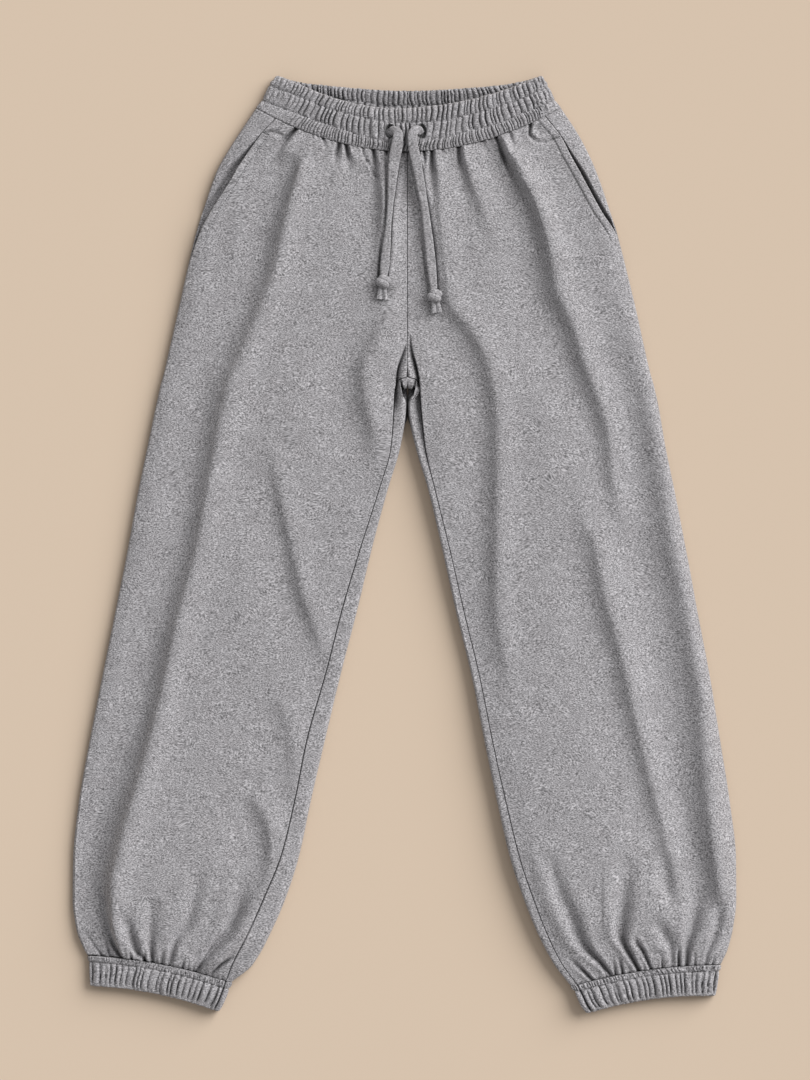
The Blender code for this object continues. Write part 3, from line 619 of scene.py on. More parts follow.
def smooth_curve(places, knots, values):
    """A curve through the values at the knots, read at the places, with no corners and no overshoot."""
    gaps = np.diff(knots)[:, None]
    rises = np.diff(values, axis=0) / gaps
    slopes = np.zeros_like(values)
    slopes[0], slopes[-1] = rises[0], rises[-1]
    turning = rises[:-1] * rises[1:] <= 0.0
    sums = np.where(turning, 1.0, rises[:-1] + rises[1:])
    slopes[1:-1] = np.where(turning, 0.0, 2.0 * rises[:-1] * rises[1:] / sums)
    places = np.clip(places, knots[0], knots[-1])
    order = np.clip(np.searchsorted(knots, places, side="right") - 1, 0, len(knots) - 2)
    gap = gaps[order]
    share = ((places - knots[order]) / gap[:, 0])[:, None]
    return hermite(share, values[order], values[order + 1], slopes[order] * gap, slopes[order + 1] * gap)


def read_table(rows, places):
    """A table's values at these places, smoothly between its rows. Its first column holds their places."""
    rows = np.asarray(rows, float)
    return smooth_curve(places, rows[:, 0], rows[:, 1:])


def along_points(points):
    """Distance along a line of points, from its first."""
    return np.concatenate([[0.0], np.cumsum(np.linalg.norm(np.diff(points, axis=0), axis=1))])


def read_line(places, knots, points):
    """The points of a line at these places, straight between its knots."""
    return np.stack([np.interp(places, knots, points[:, axis]) for axis in range(3)], axis=1)


def spaced(stops, *steps):
    """Places from the first stop to the last, with the step asked for between each pair of stops."""
    found = [np.array([stops[0]])]
    for start, end, step in zip(stops, stops[1:], steps):
        count = max(int(round((end - start) / step)), 1)
        found.append(np.linspace(start, end, count + 1)[1:])
    return np.concatenate(found)


def ripple(x, y, wavelength, seed):
    """Smooth uneven waves, mostly between -1 and 1, with no direction of their own."""
    rng = np.random.default_rng(seed)
    total = 0.0
    for _ in range(RIPPLE_WAVES):
        angle, phase = rng.uniform(0.0, 2.0 * math.pi, 2)
        turn = 2.0 * math.pi / (wavelength * rng.uniform(0.7, 1.5))
        total = total + np.sin((x * math.cos(angle) + y * math.sin(angle)) * turn + phase)
    return total / math.sqrt(RIPPLE_WAVES) / 1.5


def ridges(place, length, pitch, seed):
    """Uneven rounded ridges along a gathered row, 0 to 1, with sharp slits between them."""
    rng = np.random.default_rng(seed)
    count = int(round(length / pitch))
    widths = rng.uniform(0.55, 1.5, count)
    edges = np.concatenate([[0.0], np.cumsum(widths)]) * length / widths.sum()
    tops = rng.uniform(0.6, 1.0, count)
    slits = rng.uniform(0.0, 0.4, count + 1)
    slits[-1] = slits[0]
    wrapped = np.mod(place, length)
    order = np.clip(np.searchsorted(edges, wrapped, side="right") - 1, 0, count - 1)
    share = (wrapped - edges[order]) / (edges[order + 1] - edges[order])
    base = lerp(slits[order], slits[order + 1], share)
    return base + (tops[order] - base) * (1.0 - np.abs(2.0 * share - 1.0) ** RIDGE_FLATNESS)


# Rows of the garment. A side's stations are the tables' columns by name; its rows are read between them.

def table(columns, rows):
    return {name: np.array(values, float) for name, values in zip(columns, zip(*rows))}


def hip_stations(rows, side):
    """Half the stations above the crotch, with the names that legs use."""
    found = table(HIP_COLUMNS, rows)
    centre = np.full(len(rows), CENTRE_X)
    return {
        "outer_x": found[f"{side}_x"], "outer_y": found["side_y"],
        "seam_x": centre, "seam_y": found["front_y"], "floor_x": centre, "floor_y": found["back_y"],
        "edge_x": centre, "edge_y": found["back_y"], "crown": found["crown"], "dip": found["dip"],
        "bow": found["bow"], "arch": centre * 0.0, "pocket": found[f"{side}_pocket"],
    }


def leg_stations(rows):
    """The stations of a leg. Its underside starts a little way in from its inner edge."""
    found = table(LEG_COLUMNS, rows)
    across = np.stack([found["seam_x"] - found["edge_x"], found["seam_y"] - found["edge_y"]])
    inward = across / np.linalg.norm(across, axis=0)
    found["floor_x"] = found["edge_x"] + inward[0] * UNDER_REACH
    found["floor_y"] = found["edge_y"] + inward[1] * UNDER_REACH
    found["bow"] = found["pocket"] = np.zeros(len(rows))
    return found


def body_stations(side):
    above = hip_stations(HIP_ROWS, side)
    below = leg_stations(LEG_ROWS[side] + CUFF_ROWS[side][:1])
    return {name: np.concatenate([above[name], below[name]]) for name in above}


def outer_distance(stations):
    return along_points(np.stack([stations["outer_x"], stations["outer_y"]], axis=1))


def body_places(stations):
    """Places of the rows down the outer fold, closer together at the waist, the crotch and the cuff."""
    knots = outer_distance(stations)
    fork, end = knots[len(HIP_ROWS)], knots[-1]
    gap = WAIST_GAP / 2.0
    above = spaced((gap, 45.0, fork - 50.0, fork), 1.25, 3.2, 1.7)
    below = spaced((fork, fork + 22.0, fork + 70.0, end - 60.0, end - gap), 1.0, 2.0, 3.8, 1.35)
    return np.concatenate([above, below[1:]]), len(above) - 1


def read_rows(stations, places):
    """Rows at these places down the outer fold, each value as a column that broadcasts along the row."""
    columns = np.stack(list(stations.values()), axis=1)
    values = smooth_curve(places, outer_distance(stations), columns)
    rows = {name: values[:, order:order + 1] for order, name in enumerate(stations)}
    rows["place"] = np.asarray(places)[:, None]
    for inner, name in (("seam", "length"), ("floor", "floor_length")):
        rows[name] = np.hypot(rows["outer_x"] - rows[f"{inner}_x"], rows["outer_y"] - rows[f"{inner}_y"])
    return rows


def row_plan(rows, inner, length, distance):
    """x and y on the rows, this far from the outer fold."""
    share = distance / length
    curved = 1.0 - (1.0 - share) ** 2
    x = lerp(rows["outer_x"], rows[f"{inner}_x"], share)
    y = lerp(rows["outer_y"], rows[f"{inner}_y"], lerp(share, curved, rows["bow"]))
    return x, y + rows["arch"] * 4.0 * share * (1.0 - share)


def top_surface(rows, distance):
    """Points on top, this far from the outer fold, before any relief."""
    x, y = row_plan(rows, "seam", rows["length"], distance)
    dipped = rows["dip"] * smooth(1.0 - (rows["length"] - distance) / DIP_RUN)
    shoulder = SHOULDER_RISE * (1.0 - (1.0 - np.clip(distance / SHOULDER_RUN, 0.0, 1.0)) ** 2)
    crown_rise = rows["crown"] - dipped - FOLD_RADIUS - EDGE_RISE - SHOULDER_RISE
    height = FOLD_RADIUS + EDGE_RISE * swell(distance, EDGE_RUN) + shoulder
    height = height + crown_rise * smooth(distance / CROWN_RUN)
    return np.stack(np.broadcast_arrays(x, y, height), axis=-1)


def floor_surface(rows, columns, turns):
    """Points underneath, out to the outer fold, and then up round it at these turns from the floor."""
    distance = lerp(UNDER_REACH, rows["floor_length"], np.linspace(1.0, 0.0, columns + 1)[None, :])
    round_distance = UNDER_REACH * (1.0 - np.sin(turns))[None, :]
    round_height = FOLD_RADIUS * (1.0 - np.cos(turns))[None, :]
    parts = []
    for reached, height in ((distance, 0.0), (round_distance, round_height)):
        x, y = row_plan(rows, "floor", rows["floor_length"], reached)
        parts.append(np.stack(np.broadcast_arrays(x, y, height), axis=-1))
    return np.concatenate(parts, axis=1)


def wrap_surface(rows, angles):
    """Points round the inner fold of a leg, from the inseam on top at a quarter turn to the floor at minus
    one."""
    seam = top_surface(rows, rows["length"])
    inward_x, inward_y = rows["seam_x"] - rows["edge_x"], rows["seam_y"] - rows["edge_y"]
    width = np.hypot(inward_x, inward_y)
    upper = angles > 0.0
    downward = smooth((np.abs(inward_y) / width - TONGUE_DOWNWARD) / TONGUE_BLEND)
    blunt = np.where(upper, lerp(EDGE_BLUNT, TONGUE_BLUNT, downward), 1.0)
    back = np.where(upper, width, UNDER_REACH) * (1.0 - np.abs(np.cos(angles)) ** blunt)
    rise = np.where(upper, seam[..., 2] - FOLD_RADIUS, FOLD_RADIUS) * blunted(np.sin(angles), blunt)
    x = rows["edge_x"] + inward_x / width * back
    y = rows["edge_y"] + inward_y / width * back
    under_fork = smooth((rows["edge_y"] - LIP_LOW) / LIP_RUN)
    drawn_in = under_fork * np.where(upper, 0.0, np.abs(np.sin(2.0 * angles)))
    return np.stack([lerp(x, FORK_X, drawn_in), y, FOLD_RADIUS + rise], axis=-1)


def wrap_angles():
    """Angles for the inner fold: close together at the inseam, then even, and short of the floor by one."""
    fine = np.linspace(math.pi / 2.0, 0.0, 400)
    run = along_points(np.stack([np.cos(fine) ** EDGE_BLUNT, np.sin(fine) ** EDGE_BLUNT], axis=1))
    places = np.linspace(0.0, 1.0, WRAP_COLUMNS + 1) ** SEAM_CROWDING * run[-1]
    below = np.linspace(0.0, -math.pi / 2.0, UNDER_COLUMNS + 1)[1:-1]
    return np.concatenate([np.interp(places, run, fine), below])[None, :]


def top_distances(start, end, edge_columns, columns, inner_columns, inner_run):
    """Distances across the top: close together round the outer fold, then even, then closer at the seam."""
    turns = np.linspace(0.0, math.pi / 2.0, edge_columns + 1)
    run = np.minimum(OUTER_RUN, (end - start) * 0.5)
    rounded = start + run * (1.0 - np.cos(turns))
    inner = end - inner_run
    even = lerp(start + run, inner, np.linspace(0.0, 1.0, columns + 1)[1:])
    crowded = np.linspace(1.0, 0.0, inner_columns + 1)[1:] ** SEAM_CROWDING
    return np.concatenate([rounded, even, lerp(end, inner, crowded)], axis=1)


# Relief

def line_offsets(line, x, y):
    """Signed distance from a smooth line, positive on the +X side of a line that runs down, and the line's
    two values. The first value dies away past its ends."""
    line = np.asarray(line, float)
    knots = along_points(line[:, :2])
    steps = max(int(knots[-1] / LINE_STEP), 4)
    dense = smooth_curve(np.linspace(0.0, knots[-1], steps), knots, line)
    away = np.full(x.shape, np.inf)
    across, height, half = np.zeros(x.shape), np.zeros(x.shape), np.ones(x.shape)
    for order, (near, far) in enumerate(zip(dense, dense[1:])):
        run_x, run_y = far[0] - near[0], far[1] - near[1]
        length = math.hypot(run_x, run_y)
        along = ((x - near[0]) * run_x + (y - near[1]) * run_y) / length
        held = np.clip(along, 0.0, length)
        share = held / length
        gap = np.hypot(x - near[0] - share * run_x, y - near[1] - share * run_y)
        sideways = ((y - near[1]) * run_x - (x - near[0]) * run_y) / length
        outside = ((along < 0.0) & (order == 0)) | ((along > length) & (order == len(dense) - 2))
        fading = hump(np.where(outside, along - held, 0.0), END_FADE)
        closer = gap < away
        away = np.where(closer, gap, away)
        across = np.where(closer, sideways, across)
        height = np.where(closer, lerp(near[2], far[2], share) * fading, height)
        half = np.where(closer, lerp(near[3], far[3], share), half)
    return across, height, half


def near_line(line, x, y, margin):
    """Which points lie in the box of a line, grown by a margin, and line_offsets there."""
    places = np.asarray(line, float)[:, :2]
    low, high = places.min(0) - margin, places.max(0) + margin
    close = (x > low[0]) & (x < high[0]) & (y > low[1]) & (y < high[1])
    return close, *line_offsets(line, x[close], y[close])


def fold_relief(x, y):
    """Height of the long folds."""
    total = np.zeros(x.shape)
    for line in FOLDS.values():
        close, across, step, steep = near_line(line, x, y, 3.0 * FOLD_SPREAD)
        across = across + 0.7 * FOLD_LEAN * steep
        for way in (1.0, -1.0):
            past = way * across - steep
            lean = 1.0 - way * FOLD_LEAN
            lobe = hump(past, lean * np.where(past < 0.0, steep, FOLD_SPREAD))
            total[close] += way * 0.5 * FOLD_STRENGTH * step * lobe
    return total


def crease_relief(x, y, lines):
    """Depth of the gathers' troughs, with the cloth puffed up beside them."""
    total = np.zeros(x.shape)
    for line in lines:
        close, across, depth, half = near_line(line, x, y, 20.0)
        across = across + CREASE_SHIFT * np.maximum(half - 2.0, 0.0)
        puff = CREASE_PUFF * hump(np.abs(across) - 2.2 * half, 1.2 * half)
        total[close] += CREASE_STRENGTH * depth * (puff - hump(across, half))
    return total


def small_pleats(x, to_seam, reach, depth, pitch, seed):
    """Short pleats that run from a gathered seam and die out this far from it."""
    place = x + PLEAT_SPAN / 2.0
    pleat = ridges(place + 0.04 * to_seam * np.sin(x / 9.0), PLEAT_SPAN, pitch, seed)
    uneven_reach = reach * (0.5 + 0.5 * ridges(place + 1.0, PLEAT_SPAN, 2.7 * pitch, seed + 1))
    return depth * (pleat - 0.75) * (1.0 - smooth(to_seam / uneven_reach))


def hollow_relief(x, y, side, lap):
    """The drop into the hollow at the crotch: steep at its wall, shallower further in. lap: 1 for the piece
    that lies in the hollow, whose whole edge has dropped, and 0 for the front, which drops past the wall."""
    total = np.zeros(x.shape)
    close, across, depth, narrow = near_line(HOLLOWS[side], x, y, 24.0)
    inside = -across if side == LEFT else across
    within = np.maximum(inside, 0.0)
    shape = 0.5 * hump(within, narrow) + 0.5 * hump(within, narrow * HOLLOW_WIDE)
    total[close] = -depth * smooth(inside / HOLLOW_FALL + lap) * shape
    return total


def string_banks(x, y):
    """The cloth pressed down under the drawstrings and puffed up beside them."""
    total = np.zeros(x.shape)
    for string in STRINGS.values():
        route = string["route"]
        knots = along_points(np.asarray(route))
        halves = read_table(string["widths"], knots / knots[-1])[:, 0] / 2.0
        line = [(point[0], point[1], 1.0, half) for point, half in zip(route[LANDING:], halves[LANDING:])]
        close, across, share, half = near_line(line, x, y, 20.0)
        past = np.abs(across + BED_SHIFT) - half
        bed = BED_DEPTH * smooth((BED_PAST - past) / BED_SLOPE)
        total[close] += share * (BANK_RISE * hump(past - BANK_PAST, BANK_HALF) - bed)
    return total


def cloth_relief(x, y, rows, side):
    """All of the relief on top of a leg and a hip, but for its seams and the hollow."""
    total = fold_relief(x, y) + crease_relief(x, y, CREASES[f"{side}_waist"] + CREASES[f"{side}_cuff"])
    total += string_banks(x, y)
    middle = smooth((PLEATED_HALF - np.abs(x - PLEATED_X)) / PLEATED_FADE)
    total += middle * small_pleats(x, rows["place"], *WAIST_PLEATS)
    total += small_pleats(x, rows["place"][-1] - rows["place"], *CUFF_PLEATS)
    for height, wavelength, seed in UNEVENNESS:
        total += height * ripple(x, y, wavelength, seed)
    return total


def under_folds(x, y, side):
    """How far the underside is lifted off the floor: soft troughs like those of the other leg's front,
    mirrored."""
    total = np.zeros(x.shape)
    for name, line in FOLDS.items():
        if not name.startswith(side):
            close, across, step, _ = near_line(line, 2.0 * CENTRE_X - x, y, 3.0 * UNDER_HALF)
            total[close] += UNDER_SHARE * step * hump(across, UNDER_HALF)
    return total + UNDER_WAVE * (1.0 + ripple(x, y, 45.0, 17)) * smooth(total)


def seam_groove(distance):
    """A seam's edge, turned down into the seam."""
    return -SEAM_DEPTH * (1.0 - swell(distance, SEAM_ROLL))


def pocket_mouth(rows):
    """Share of the pocket mouth's full opening."""
    return smooth(rows["pocket"] / MOUTH_SHOWN) * smooth((rows["place"] - MOUTH_START) / MOUTH_RUN)


# Meshes

def grid_quads(index, closed=False):
    """The faces between the rows of an index grid, and from its last column to its first where it is
    closed."""
    if closed:
        index = np.concatenate([index, index[:, :1]], axis=1)
    return np.stack([index[:-1, :-1], index[1:, :-1], index[1:, 1:], index[:-1, 1:]], axis=-1).reshape(-1, 4)


def tube_faces(index):
    """The faces of a closed tube, and its two ends."""
    return [*grid_quads(index, closed=True).tolist(), index[0].tolist(), index[-1][::-1].tolist()]


def flipped(quads, side):
    return quads if side == RIGHT else quads[:, ::-1]


def point_normals(points, quads):
    """Outward directions, averaged over the faces round each point."""
    flat = np.cross(points[quads[:, 2]] - points[quads[:, 0]], points[quads[:, 3]] - points[quads[:, 1]])
    sums = np.zeros_like(points)
    for corner in range(4):
        np.add.at(sums, quads[:, corner], flat)
    return unit(sums)


def rim_edges(quads, count):
    """The edges that only one face has."""
    starts = quads.reshape(-1)
    ends = np.roll(quads, -1, axis=1).reshape(-1)
    lone = ~np.isin(starts * count + ends, ends * count + starts)
    return starts[lone], ends[lone]


def mesh_object(name, points, faces, material, sharp=50.0):
    """An object of one mesh, in millimetres from the tables' origin, shaded smooth up to the sharp angle."""
    mesh = bpy.data.meshes.new(name)
    mesh.from_pydata(((points + MIDDLE) * MM).tolist(), [], faces)
    mesh.materials.append(material)
    mesh.shade_smooth()
    mesh.set_sharp_from_angle(angle=math.radians(sharp))
    made = bpy.data.objects.new(name, mesh)
    bpy.context.scene.collection.objects.link(made)
    return made


def wall_object(name, points, quads, relief, wall, material):
    """A closed wall of cloth: the points moved out by the relief, a second skin inside them, and rims
    between. The floor stops both skins."""
    normals = point_normals(points, quads)
    skins = []
    for offset in (relief, relief - wall):
        skin = points + normals * offset[:, None]
        skin[:, 2] = np.maximum(skin[:, 2], 0.0)
        skins.append(skin)
    count = len(points)
    starts, ends = rim_edges(quads, count)
    rims = np.stack([ends, starts, starts + count, ends + count], axis=1)
    faces = np.concatenate([quads, quads[:, ::-1] + count, rims]).tolist()
    return mesh_object(name, np.concatenate(skins), faces, material), skins[0], normals


def ring_object(name, points, relief, wall, side, material):
    """A closed wall of cloth round a ring of points."""
    quads = flipped(grid_quads(numbered(relief.shape), closed=True), side)
    made, outside, normals = wall_object(name, points.reshape(-1, 3), quads, relief.reshape(-1),
                                         wall.reshape(-1), material)
    return made, outside.reshape(points.shape), normals.reshape(points.shape)


def lowest_around(values):
    """The lowest of each value of a grid and its eight neighbours."""
    padded = np.pad(values, 1, mode="edge")
    rows, columns = values.shape
    found = values
    for down in range(3):
        for right in range(3):
            found = np.minimum(found, padded[down:down + rows, right:right + columns])
    return found


def panel_object(name, points, relief, wall, side, material):
    """A closed wall of cloth from one grid. Its inside has every second row and column only, under the
    lowest relief round it."""
    rows, columns = relief.shape
    index = numbered(relief.shape)
    quads = flipped(grid_quads(index), side)
    normals = point_normals(points.reshape(-1, 3), quads).reshape(points.shape)
    outside = points + normals * relief[..., None]
    inside = points + normals * (lowest_around(relief) - wall)[..., None]
    kept = np.ix_(np.unique([*range(0, rows, 2), rows - 1]), np.unique([*range(0, columns, 2), columns - 1]))
    inner = inside[kept]
    inner_index = numbered(inner.shape[:2], relief.size)
    faces = quads.tolist() + flipped(grid_quads(inner_index), side)[:, ::-1].tolist()
    under = np.full(relief.size, -1)
    under[index[kept]] = inner_index
    border = np.concatenate([index[:-1, 0], index[-1, :-1], index[:0:-1, -1], index[0, :0:-1], index[:1, 0]])
    if side == LEFT:
        border = border[::-1]
    stops = np.flatnonzero(under[border] >= 0)
    for start, end in zip(stops, stops[1:]):
        outer_edge = border[start:end + 1][::-1].tolist()
        faces.append([*outer_edge, int(under[border[start]]), int(under[border[end]])])
    placed = np.concatenate([outside.reshape(-1, 3), inner.reshape(-1, 3)])
    return mesh_object(name, placed, faces, material), outside, normals


def tube_object(name, sections, material):
    """A closed tube through rings of points."""
    return mesh_object(name, sections.reshape(-1, 3), tube_faces(numbered(sections.shape[:2])), material)


def stitches(name, starts, ends, ups, radius, material):
    """Short threads as one mesh, each a spindle from start to end, lying across its up direction."""
    along = ends - starts
    sideways = unit(np.cross(along, ups))
    shares = np.array((0.0, 0.2, 0.8, 1.0))
    thickness = np.array((0.35, 1.0, 1.0, 0.35)) * radius
    sink = np.array((-0.9, 0.2, 0.2, -0.9)) * radius
    turns = round_turns(6)
    centre = (starts[:, None, :] + along[:, None, :] * shares[None, :, None]
              + ups[:, None, :] * sink[None, :, None])
    ring = (sideways[:, None, None, :] * np.cos(turns)[None, None, :, None]
            + ups[:, None, None, :] * np.sin(turns)[None, None, :, None])
    points = centre[:, :, None, :] + ring * thickness[None, :, None, None]
    index = numbered(points.shape[:3])
    faces = [face for thread in index for face in tube_faces(thread)]
    return mesh_object(name, points.reshape(-1, 3), faces, material, 80.0)


def stitch_run(points, normals, pitch, gap):
    """The starts, ends and ups of stitches along a line of surface points."""
    knots = along_points(points)
    count = int(knots[-1] / pitch)
    begin = (np.arange(count) + 0.5) * knots[-1] / count - (pitch - gap) / 2.0
    end = begin + pitch - gap
    return read_line(begin, knots, points), read_line(end, knots, points), read_line(begin, knots, normals)


# Materials

def new_material(name):
    """A material, its tree and its Principled shader."""
    material = bpy.data.materials.new(name)
    material.use_nodes = True
    tree = material.node_tree
    return material, tree, tree.nodes["Principled BSDF"]


def set_inputs(tree, node, inputs):
    """A node's inputs set to values or linked to sockets."""
    for name, value in inputs.items():
        if isinstance(value, bpy.types.NodeSocket):
            tree.links.new(value, node.inputs[name])
        else:
            node.inputs[name].default_value = value


def add_node(tree, kind, inputs, **settings):
    """A node with its settings and its inputs."""
    node = tree.nodes.new(kind)
    for setting, value in settings.items():
        setattr(node, setting, value)
    set_inputs(tree, node, inputs)
    return node


def vector_step(tree, operation, first, second):
    return add_node(tree, "ShaderNodeVectorMath", {0: first, 1: second}, operation=operation).outputs[0]


def multiplied(tree, first, second):
    """Two colours multiplied."""
    mixed = add_node(tree, "ShaderNodeMix", {"Factor": 1.0}, data_type="RGBA", blend_type="MULTIPLY")
    set_inputs(tree, mixed, {6: first, 7: second})
    return mixed.outputs[2]


def colour_ramp(tree, factor, stops):
    node = add_node(tree, "ShaderNodeValToRGB", {"Fac": factor})
    ramp = node.color_ramp
    while len(ramp.elements) < len(stops):
        ramp.elements.new(0.5)
    for element, (place, value) in zip(ramp.elements, stops):
        element.position = place
        element.color = (*value, 1.0) if isinstance(value, tuple) else (value, value, value, 1.0)
    return node.outputs["Color"]


def marl_fleece(name, tone, contrast=1.0):
    """Grey marl: light and dark strands that lie in curls like a fingerprint, a soft nap, and faint clouds
    of tone. Painted shade: the colour is darkened in narrow crevices and where pieces lie close, from an
    ambient occlusion node."""
    material, tree, shader = new_material(name)
    coordinates = add_node(tree, "ShaderNodeTexCoord", {}).outputs["Object"]
    wander = add_node(tree, "ShaderNodeTexNoise", {
        "Vector": coordinates, "Scale": CURL_SCALE, "Detail": 1.5})
    centred = vector_step(tree, "SUBTRACT", wander.outputs["Color"], (0.5, 0.5, 0.5))
    pushed = vector_step(tree, "MULTIPLY", centred, CURL_PUSH)
    curled = vector_step(tree, "ADD", coordinates, pushed)
    drawn = add_node(tree, "ShaderNodeMapping", {"Vector": curled, "Scale": STRAND_STRETCH})
    strands = add_node(tree, "ShaderNodeTexNoise", {
        "Vector": drawn.outputs["Vector"], "Scale": STRAND_SCALE, "Detail": 0.6, "Roughness": 0.6,
        "Distortion": 0.3})
    clouds = add_node(tree, "ShaderNodeTexNoise", {
        "Vector": coordinates, "Scale": CLOUD_SCALE, "Detail": 3.0})
    # Painted shade: ambient occlusion darkens the colour in crevices, folds and slits
    painted_crevice_shade = add_node(tree, "ShaderNodeAmbientOcclusion", {"Distance": PAINTED_CREVICE_SHADE_REACH}, samples=8)
    marl = [(place, tone * lerp(1.0, value, contrast)) for place, value in MARL_RAMP]
    colour = multiplied(tree, colour_ramp(tree, strands.outputs["Fac"], marl),
                        colour_ramp(tree, clouds.outputs["Fac"], CLOUD_RAMP))
    bump = add_node(tree, "ShaderNodeBump", {
        "Height": strands.outputs["Fac"], "Strength": 0.6, "Distance": 0.0008})
    # The base colour carries painted shade: the marl's colour times the ambient occlusion ramp
    set_inputs(tree, shader, {
        "Base Color": multiplied(tree, colour, colour_ramp(tree, painted_crevice_shade.outputs["AO"], PAINTED_CREVICE_SHADE_RAMP)),
        "Normal": bump.outputs["Normal"], "Roughness": 0.95, "Specular IOR Level": 0.15,
        "Sheen Weight": 0.12, "Sheen Roughness": 0.5})
    return material


def sewing_thread(name, tone):
    """Matt polyester thread with a fine twist."""
    material, tree, shader = new_material(name)
    coordinates = add_node(tree, "ShaderNodeTexCoord", {}).outputs["Object"]
    twist = add_node(tree, "ShaderNodeTexWave", {
        "Vector": coordinates, "Scale": 900.0, "Distortion": 2.0}, bands_direction="DIAGONAL")
    colour = colour_ramp(tree, twist.outputs["Fac"], [(0.0, tone * 0.75), (1.0, tone * 1.15)])
    set_inputs(tree, shader, {"Base Color": colour, "Roughness": 0.7})
    return material


def floor_material():
    """A plain pale surface."""
    material, tree, shader = new_material("pale_floor")
    set_inputs(tree, shader, {"Base Color": FLOOR_COLOUR, "Roughness": 0.9, "Specular IOR Level": 0.1})
    return material


# Drawstring

def string_path(route, count):
    """Points along the smooth route."""
    route = np.asarray(route)
    places = np.linspace(0.0, len(route) - 1.0, 12 * len(route))
    order = np.clip(places.astype(int), 0, len(route) - 2)
    near, far = route[order], route[order + 1]
    before, after = route[np.maximum(order - 1, 0)], route[np.minimum(order + 2, len(route) - 1)]
    dense = hermite((places - order)[:, None], near, far, (far - before) / 2, (after - near) / 2)
    knots = along_points(dense)
    return read_line(np.linspace(0.0, knots[-1], count), knots, dense)


def flat_sections(path, widths, thicks, crease):
    """Rings of a flat tube that lies along a path, creased down its middle."""
    ahead = unit(np.gradient(path, axis=0))
    across = unit(np.cross(ahead, (0.0, 0.0, 1.0)))
    up = np.cross(across, ahead)
    turns = round_turns(STRING_SIDES)
    flat = blunted(np.cos(turns), 0.6)
    lift = blunted(np.sin(turns), 0.7)
    groove = np.where(lift > 0.0, hump(flat, 0.16), 0.0)
    wide = flat[None, :] * widths[:, None] / 2.0
    high = lift[None, :] * thicks[:, None] / 2.0 - groove[None, :] * crease
    return path[:, None, :] + across[:, None, :] * wide[..., None] + up[:, None, :] * high[..., None]


def make_string(side, string, material):
    path = string_path(string["route"], STRING_ROWS)
    read = read_table(string["widths"], np.linspace(0.0, 1.0, STRING_ROWS))
    uneven = 0.25 * ripple(path[:, 1], path[:, 0], 22.0, 31)
    sections = flat_sections(path, read[:, 0] + uneven, read[:, 1] + 0.3 * uneven, STRING_CREASE)
    return tube_object(f"drawstring_{side}_cloth", sections, material), path


def make_knot(side, end, ahead, ground, material):
    """An overhand knot, pulled tight, with its strands as swellings."""
    turns = round_turns(48)
    tilts = np.linspace(-0.49, 0.49, 31) * math.pi
    lift = np.sin(tilts)[:, None]
    u = np.cos(tilts)[:, None] * np.cos(turns)[None, :]
    v = np.cos(tilts)[:, None] * np.sin(turns)[None, :]
    strand = np.abs(np.sin(2.3 * (u * 0.55 + v) + 0.5 + 0.4 * lift))
    second = np.abs(np.sin(2.6 * (u - 0.35 * v)))
    swollen = 0.72 + 0.34 * np.sqrt(strand) + 0.14 * np.sqrt(second)
    middle = end + ahead * KNOT_AHEAD
    middle[2] = ground + KNOT_REST
    up = np.array((0.0, 0.0, 1.0))
    ball = middle + sum((size * way * swollen)[..., None] * direction for size, way, direction in zip(
        KNOT_SIZE, (u, v, lift), (np.cross(ahead, up), ahead, up)))
    return tube_object(f"knot_{side}_cloth", ball, material)


def make_tail(side, end, ahead, reach, ground, material):
    """The flared end of the flat tube below the knot, frayed at its tip."""
    share = np.linspace(0.0, 1.0, 26)
    path = lerp(end + ahead * TAIL_START, end + ahead * (reach - 0.5), share[:, None])
    widths = read_table(TAIL_WIDTHS, share)[:, 0]
    thicks = read_table(TAIL_THICKS, share)[:, 0]
    path[:, 2] = ground + thicks / 2.0
    sections = flat_sections(path, widths, thicks, TAIL_CREASE)
    tip = sections[-3:]
    tip += ahead * (0.5 * ripple(tip[..., 0] * 3.0, tip[..., 2] * 3.0, 6.0, 35))[..., None]
    return tube_object(f"tail_{side}_cloth", sections, material)


def make_drawstrings(material):
    for side, string in STRINGS.items():
        cord, path = make_string(side, string, material)
        end = path[-1]
        ahead = np.array((string["tail"][0] - end[0], string["tail"][1] - end[1], 0.0))
        ground = end[2] - STRING_THICK / 2.0
        knot = make_knot(side, end, unit(ahead), ground, material)
        tail = make_tail(side, end, unit(ahead), np.linalg.norm(ahead), ground, material)
        for piece in (cord, knot, tail):
            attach(piece, "root")
        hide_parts(f"drawstring_{side}")
        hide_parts(f"knot_{side}")


# Legs and hips

